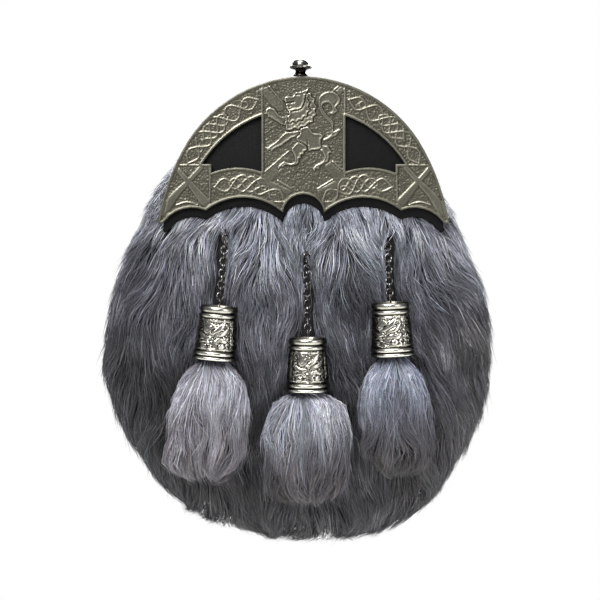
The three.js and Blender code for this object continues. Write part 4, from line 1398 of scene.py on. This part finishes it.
# height at which each chain comes out of the fur
chainOpens = {"left": -11, "middle": -23, "right": -11}


def chainClearance(roots):
    # True for hairs that don't grow right behind the open part of a chain
    clear = np.ones(len(roots), bool)
    for side, line in bellLine.items():
        eye, top = line["eye"], line["top"]
        z = roots[:, 2] / mm
        t = (z - eye[2]) / (top[2] - eye[2])
        dx = roots[:, 0] / mm - (eye[0] + (top[0] - eye[0]) * t)
        clear &= ~((z < chainOpens[side] + 2) & (t < 1.1) & (np.abs(dx) < 2.2) & (roots[:, 1] < -20 * mm))
    return clear


def makeRoom(rows):
    # hairs part round the chains and lie behind the bells, the tassels and the cantle
    shape = rows.shape
    p = rows.reshape(-1, 3) / mm
    root = np.repeat(rows[:, 0] / mm, shape[1], axis=0)
    for side, line in bellLine.items():
        eye, top, mouth = line["eye"], line["top"], line["mouth"]
        slope = (top[0] - eye[0]) / (top[2] - eye[2])
        dx = p[:, 0] - (eye[0] + slope * (p[:, 2] - eye[2]))
        rootAside = root[:, 0] - (eye[0] + slope * (root[:, 2] - eye[2]))
        hand = np.where(rootAside >= 0, 1, -1)
        opens = chainOpens[side]
        along = 1 - smoothStep(opens - 4, opens + 3, p[:, 2])
        along = along * smoothStep(top[2] - 12, top[2] - 4, p[:, 2])
        along = along * (np.abs(rootAside) < 24)
        gap = 2.2 + 0.7 * np.sin(p[:, 2] / 2.6 + hand) + 0.5 * np.sin(root[:, 2] * 1.7)
        aside = hand * dx
        pushed = gap + 1.3 * np.log1p(np.exp(np.clip((aside - gap) / 1.3, -30, 30)))
        pushed = np.where(aside - gap > 25, aside, pushed)
        p[:, 0] += along * hand * (pushed - aside)
        near = along * np.exp(-(dx / 4) ** 2)
        p[:, 1] += near * np.maximum(-33 - p[:, 1], 0)
        over = smoothStep(opens - 3, opens + 4, p[:, 2]) * (1 - smoothStep(eye[2] + 2, eye[2] + 9, p[:, 2]))
        over = over * np.exp(-(dx / 6) ** 2) * np.tile(np.linspace(0, 1.5, shape[1]).clip(0, 1), shape[0])
        p[:, 1] -= over * np.maximum(p[:, 1] - (eye[1] - 2.2), 0)
        # bell
        t = np.clip((p[:, 2] - mouth[2]) / (top[2] - mouth[2]), 0, 1)
        beside = (p[:, 2] > mouth[2] - 1) & (p[:, 2] < top[2] + 1)
        cx, cy = mouth[0] + (top[0] - mouth[0]) * t, mouth[1] + (top[1] - mouth[1]) * t
        radius = 12.4 - 1.6 * t
        dx = p[:, 0] - cx
        back = cy + np.sqrt(np.clip(radius ** 2 - dx ** 2, 0, None))
        p[:, 1] = np.where(beside & (np.abs(dx) < radius), np.maximum(p[:, 1], back), p[:, 1])
        # tassel
        low, high = line["tasselLow"], line["tasselHigh"]
        cx, cz = (low[0] + high[0]) / 2, (low[2] + mouth[2]) / 2
        wide, tall = (high[0] - low[0]) / 2, (mouth[2] - low[2]) / 2
        reach = 1 - ((p[:, 0] - cx) / wide) ** 2 - ((p[:, 2] - cz) / tall) ** 4
        back = (low[1] + high[1]) / 2 + 0.42 * (high[1] - low[1]) * np.sqrt(np.clip(reach, 0, None))
        p[:, 1] = np.where(reach > 0, np.maximum(p[:, 1], np.minimum(back, -33)), p[:, 1])
    # under the cantle and its leather the fur is pressed flat, and it rises again below them
    for lines in (backingLines, cantleLines):
        near = (p[:, 2] > -22) & (p[:, 1] < -28)
        depth = signedDistance(p[near, 0], p[near, 2], lines)[0]
        limit = np.where(depth > 0.4, -29.6, -29.6 + 2.2 * (depth - 0.4))
        p[near, 1] = np.maximum(p[near, 1], limit)
    return p.reshape(shape) * mm


def hairTones(rows, lock, locks, base, fine, light, patch):
    # colours from root to tip for every hair, linear; dark at the root and light at the tip: painted shade
    # deep in the pile and painted light at the tips
    count, levels, _ = rows.shape
    perLock = np.exp(light[0] * dice.normal(size=locks))[lock]
    perHair = np.exp(light[1] * dice.normal(size=count))
    pale = np.where(dice.random(count) < 0.04, 1.5, 1.0)
    # root-to-tip brightness: painted shade near the roots, painted light towards the tips
    along = np.interp(np.linspace(0, 1, levels), [0, 0.35, 0.8, 1], fine)
    bright = (perLock * perHair * pale * patch)[:, None] * along[None, :]
    warm = 1 + 0.05 * dice.normal(size=(count, 1, 3)) * (1, 0.6, 1)
    return np.clip(base[:, None, :] * bright[:, :, None] * warm, 0.002, 0.95)


def makePelt():
    hide = furHide()
    tree = BVHTree.FromObject(hide, bpy.context.evaluated_depsgraph_get())

    def weigh(centres, normals):
        x, z = centres[:, 0] / mm, centres[:, 2] / mm
        depth = signedDistance(x, z, backingLines)[0]
        hidden = (depth > 14) & (normals[:, 1] < -0.5)
        tall = smoothStep(-10, 30, z)
        front = np.where(normals[:, 1] < -0.5, 1.0, 0.75)
        rear = np.where(centres[:, 1] > -5 * mm, 0.5, 1.0)
        return np.where(hidden, 0.02, 1.0) * front * rear * (1 + 1.1 * tall)

    count = pelt["strands"]
    roots, normals = scatterRoots(hide, count, weigh)
    clear = chainClearance(roots)
    roots, normals = roots[clear], normals[clear]
    count = len(roots)
    flat = roots[:, [0, 2]] / mm
    top = smoothStep(-25, 25, flat[:, 1])
    lengths = pelt["longest"] + (pelt["shortest"] - pelt["longest"]) * top
    lengths = lengths * dice.uniform(0.72, 1.15, count)
    bulk = 1 - 0.28 * top
    stray = dice.random(count) < 0.035
    tipRise = dice.uniform(3.5, 8.8, count) * bulk * np.where(stray, 1.5, 1)
    midRise = np.minimum(tipRise, dice.uniform(3.5, 7, count) * bulk)
    rises = np.column_stack([midRise * 0.55, midRise, tipRise]) * mm
    spread = np.where(stray, 0.5, 0.16) * dice.normal(size=count)
    flow = peltFlow(waves(3, (26, 60)), waves(5, (9, 20)), spread)
    rows = combStrands(tree, roots, normals, lengths * mm, rises, flow, pelt["shares"], 0.35)
    locks = count // pelt["lock"]
    centres = dice.choice(np.where(~stray)[0], locks, replace=False)
    rows, lock = clumpStrands(rows, centres, dice.uniform(0.25, 0.7, locks))
    rows = makeRoom(rows)
    table = [(x, z, *linear(furGreys[grey])) for x, z, grey in toneTable]
    middle = rows[:, 2][:, [0, 2]] / mm
    base = blendTable(table, middle, 10)
    patch = np.exp(0.13 * waves(8, (14, 34))(middle))
    # the hairs darken to a fifth near their roots and lighten past their middle: painted shade and painted
    # light
    tones = hairTones(rows, lock, locks, base, [0.15, 0.6, 1.3, 1.65], (0.3, 0.5), patch)
    widths = pelt["width"] * dice.uniform(0.7, 1.2, count) * mm
    pieces = []
    share = count // pelt["pieces"]
    order = dice.permutation(count)
    for k in range(pelt["pieces"]):
        own = order[k * share:(k + 1) * share]
        pieces.append(strandMesh("fur_pelt_%d" % (k + 1), rows[own], widths[own], tones[own], (1, .9, .6)))

    applyModifier(hide, "SOLIDIFY", thickness=pelt["hideWall"] * mm, offset=-1, use_rim=True)
    editAll(hide)
    bpy.ops.mesh.normals_make_consistent(inside=False)
    leaveEdit()
    selectOnly(hide)
    bpy.ops.object.shade_smooth()
    return hide, pieces


def peltSkin():
    # the underwool close to the skin: matt, faintly mottled, and near black as painted shade where the hair
    # parts and under it
    material, tree, output = newMaterial("underwool darkened as painted shade")
    place = addNode(tree, "ShaderNodeTexCoord")
    mottle = addNode(tree, "ShaderNodeTexNoise", inputs={
        "Vector": place.outputs["Object"], "Scale": 260, "Detail": 6, "Roughness": 0.7})
    tone = addNode(tree, "ShaderNodeValToRGB", inputs={"Fac": mottle.outputs["Fac"]})
    # near-black tones: painted shade deep under the hair
    fillRamp(tone, [(0.3, "#0b0a0b"), (0.7, "#1b1a1c")])
    bump = addNode(tree, "ShaderNodeBump", inputs={
        "Strength": 0.8, "Distance": 0.0008, "Height": mottle.outputs["Fac"]})
    wool = addNode(tree, "ShaderNodeBsdfPrincipled", inputs={
        "Base Color": tone.outputs["Color"], "Roughness": 0.95, "Normal": bump.outputs["Normal"]})
    tree.links.new(wool.outputs[0], output.inputs["Surface"])
    return material


underwool = peltSkin()
peltHair = furMaterial("dyed grey rabbit fur", "hairTone")
hidePiece, peltPieces = makePelt()
finishPiece(hidePiece, underwool, "grey_fur", "fur_pouch")
for piece in peltPieces:
    finishPiece(piece, peltHair, "grey_fur", "fur_pouch")
print("pelt done")


# ---- tassels: long hair that falls from the bells over a narrow core

tassel = {
    "strands": 3400,
    "width": 0.37,
    "shoulder": {"left": 0.12, "middle": 0.27, "right": 0.13},  # how much narrower the core is at its top
    "inset": 3.2,
    "lock": 24,
    "longest": 34,
    "shares": (0.16, 0.4, 0.68, 1.0),
}
# colours down the tassel: share of its length, hex
# from the bell to the ends: share of the length, colour; the lightening near the bell is partly painted light
# falling from above
tasselTones = {
    "left": [(0, "#bcbcc8"), (0.3, "#a0a0a8"), (0.6, "#868288"), (1, "#706c70")],
    "middle": [(0, "#d4d6e4"), (0.3, "#888a92"), (0.6, "#646066"), (1, "#484442")],
    "right": [(0, "#c0c4d8"), (0.3, "#787c88"), (0.6, "#5c5a60"), (1, "#504e4c")],
}


def makeTassel(side):
    core = copyNode("fur_tassel_" + side, "tassel_core_" + side)
    applyModifier(core, "SUBSURF", levels=1, render_levels=1)
    editAll(core)
    bpy.ops.transform.shrink_fatten(value=-tassel["inset"] * mm)
    bpy.ops.mesh.normals_make_consistent(inside=False)
    leaveEdit()
    mouth, axis = bellFrame(side)
    mouth, axis = np.array(mouth), np.array(axis)
    length = np.max((mouth - nodePoints("fur_tassel_" + side)) @ axis)
    points, _ = surfaceTriangles(core)
    level = (points - mouth) @ axis
    out = points - mouth - level[:, None] * axis
    drawn = tassel["shoulder"][side] * (1 - smoothStep(0.03, 0.38, -level / length)) * (level < 0)
    points -= out * drawn[:, None]
    core.data.vertices.foreach_set("co", points.astype(np.float32).ravel())
    core.data.update()
    selectOnly(core)
    bpy.ops.object.shade_smooth()
    tree = BVHTree.FromObject(core, bpy.context.evaluated_depsgraph_get())

    def weigh(centres, normals):
        down = ((mouth - centres) @ axis) / length
        neck = np.exp(-((down - 0.02) / 0.12) ** 2)
        rear = np.where(normals[:, 1] > 0.6, 0.5, 1.0)
        return rear * (0.55 + 2.2 * neck) * (down > -0.03) * (down < 0.86)

    count = tassel["strands"]
    roots, normals = scatterRoots(core, count, weigh)
    down = ((mouth - roots) @ axis) / length
    lengths = tassel["longest"] * dice.uniform(0.55, 1.2, count) * (1 - 0.5 * np.clip(down, 0, 1))
    stray = dice.random(count) < 0.06
    tipRise = dice.uniform(1.3, 4.8, count) * np.where(stray, 1.8, 1)
    midRise = dice.uniform(1.8, 3.6, count)
    rises = np.column_stack([midRise * 0.6, midRise, (midRise + tipRise) / 2, tipRise]) * mm
    spread = np.where(stray, 0.4, 0.11)[:, None] * dice.normal(size=(count, 3))
    swirl = waves(20 + sides.index(side), (14, 30))
    fine = waves(30 + sides.index(side), (6, 12))

    def flow(place, normal):
        flatPlace = place[:, [0, 2]] / mm
        turn = 0.24 * swirl(flatPlace) + 0.17 * fine(flatPlace)
        sideways = np.cross(normal, axis)
        return -axis[None, :] + sideways * turn[:, None] + spread

    rows = combStrands(tree, roots, normals, lengths * mm, rises, flow, tassel["shares"], 0.75)
    locks = count // tassel["lock"]
    centres = dice.choice(np.where(~stray)[0], locks, replace=False)
    rows, lock = clumpStrands(rows, centres, dice.uniform(0.25, 0.78, locks))
    # inside the bell the hair stays within its wall
    level = (rows - mouth) @ axis
    out = rows - mouth - level[:, :, None] * axis
    radius = np.linalg.norm(out, axis=2)
    limit = np.where(level > -0.6 * mm, 9.2 * mm, 1.0)
    rows += out * (np.minimum(radius, limit) / (radius + 1e-9) - 1)[:, :, None]
    # the lower hair hangs loose in uneven wisps
    level = (rows - mouth) @ axis
    out = rows - mouth - level[:, :, None] * axis
    wisp = dice.uniform(0, 1, locks)[lock] * dice.uniform(0.6, 1, count)
    loose = smoothStep(0.6, 1.05, -level / length) * wisp[:, None]
    rows += out * (0.5 * loose)[:, :, None] - axis * (loose * 4 * mm)[:, :, None]
    down = np.clip(((mouth - rows[:, 2]) @ axis) / length, 0, 1)
    stops = [s for s, _ in tasselTones[side]]
    shades = np.array([linear(code) for _, code in tasselTones[side]])
    base = np.column_stack([np.interp(down, stops, shades[:, k]) for k in range(3)])
    patch = np.exp(0.13 * fine(rows[:, 2][:, [0, 2]] / mm))
    # the tassel hairs darken near their roots and lighten at the tips: painted shade and painted light
    tones = hairTones(rows, lock, locks, base, [0.3, 0.75, 1.2, 1.4], (0.26, 0.34), patch)
    widths = tassel["width"] * dice.uniform(0.7, 1.2, count) * mm
    piece = strandMesh("tassel_hair_" + side, rows, widths, tones, (1, 1, .85, .55))
    return core, piece


tasselHair = furMaterial("silver grey rabbit fur", "hairTone")
for side in sides:
    core, hair = makeTassel(side)
    # the tassel core takes the same near-black painted shade
    finishPiece(core, underwool, "tassel_fur", "fur_tassel_" + side)
    finishPiece(hair, tasselHair, "tassel_fur", "fur_tassel_" + side)
print("tassels done")

shown = {o.name: sum(len(f.vertices) - 2 for f in o.data.polygons) for o in bpy.data.objects
         if o.type == "MESH" and not o.hide_render and o.name != "floor"}
print("triangles:", sum(shown.values()), "largest:", sorted(shown.items(), key=lambda e: -e[1])[:14])
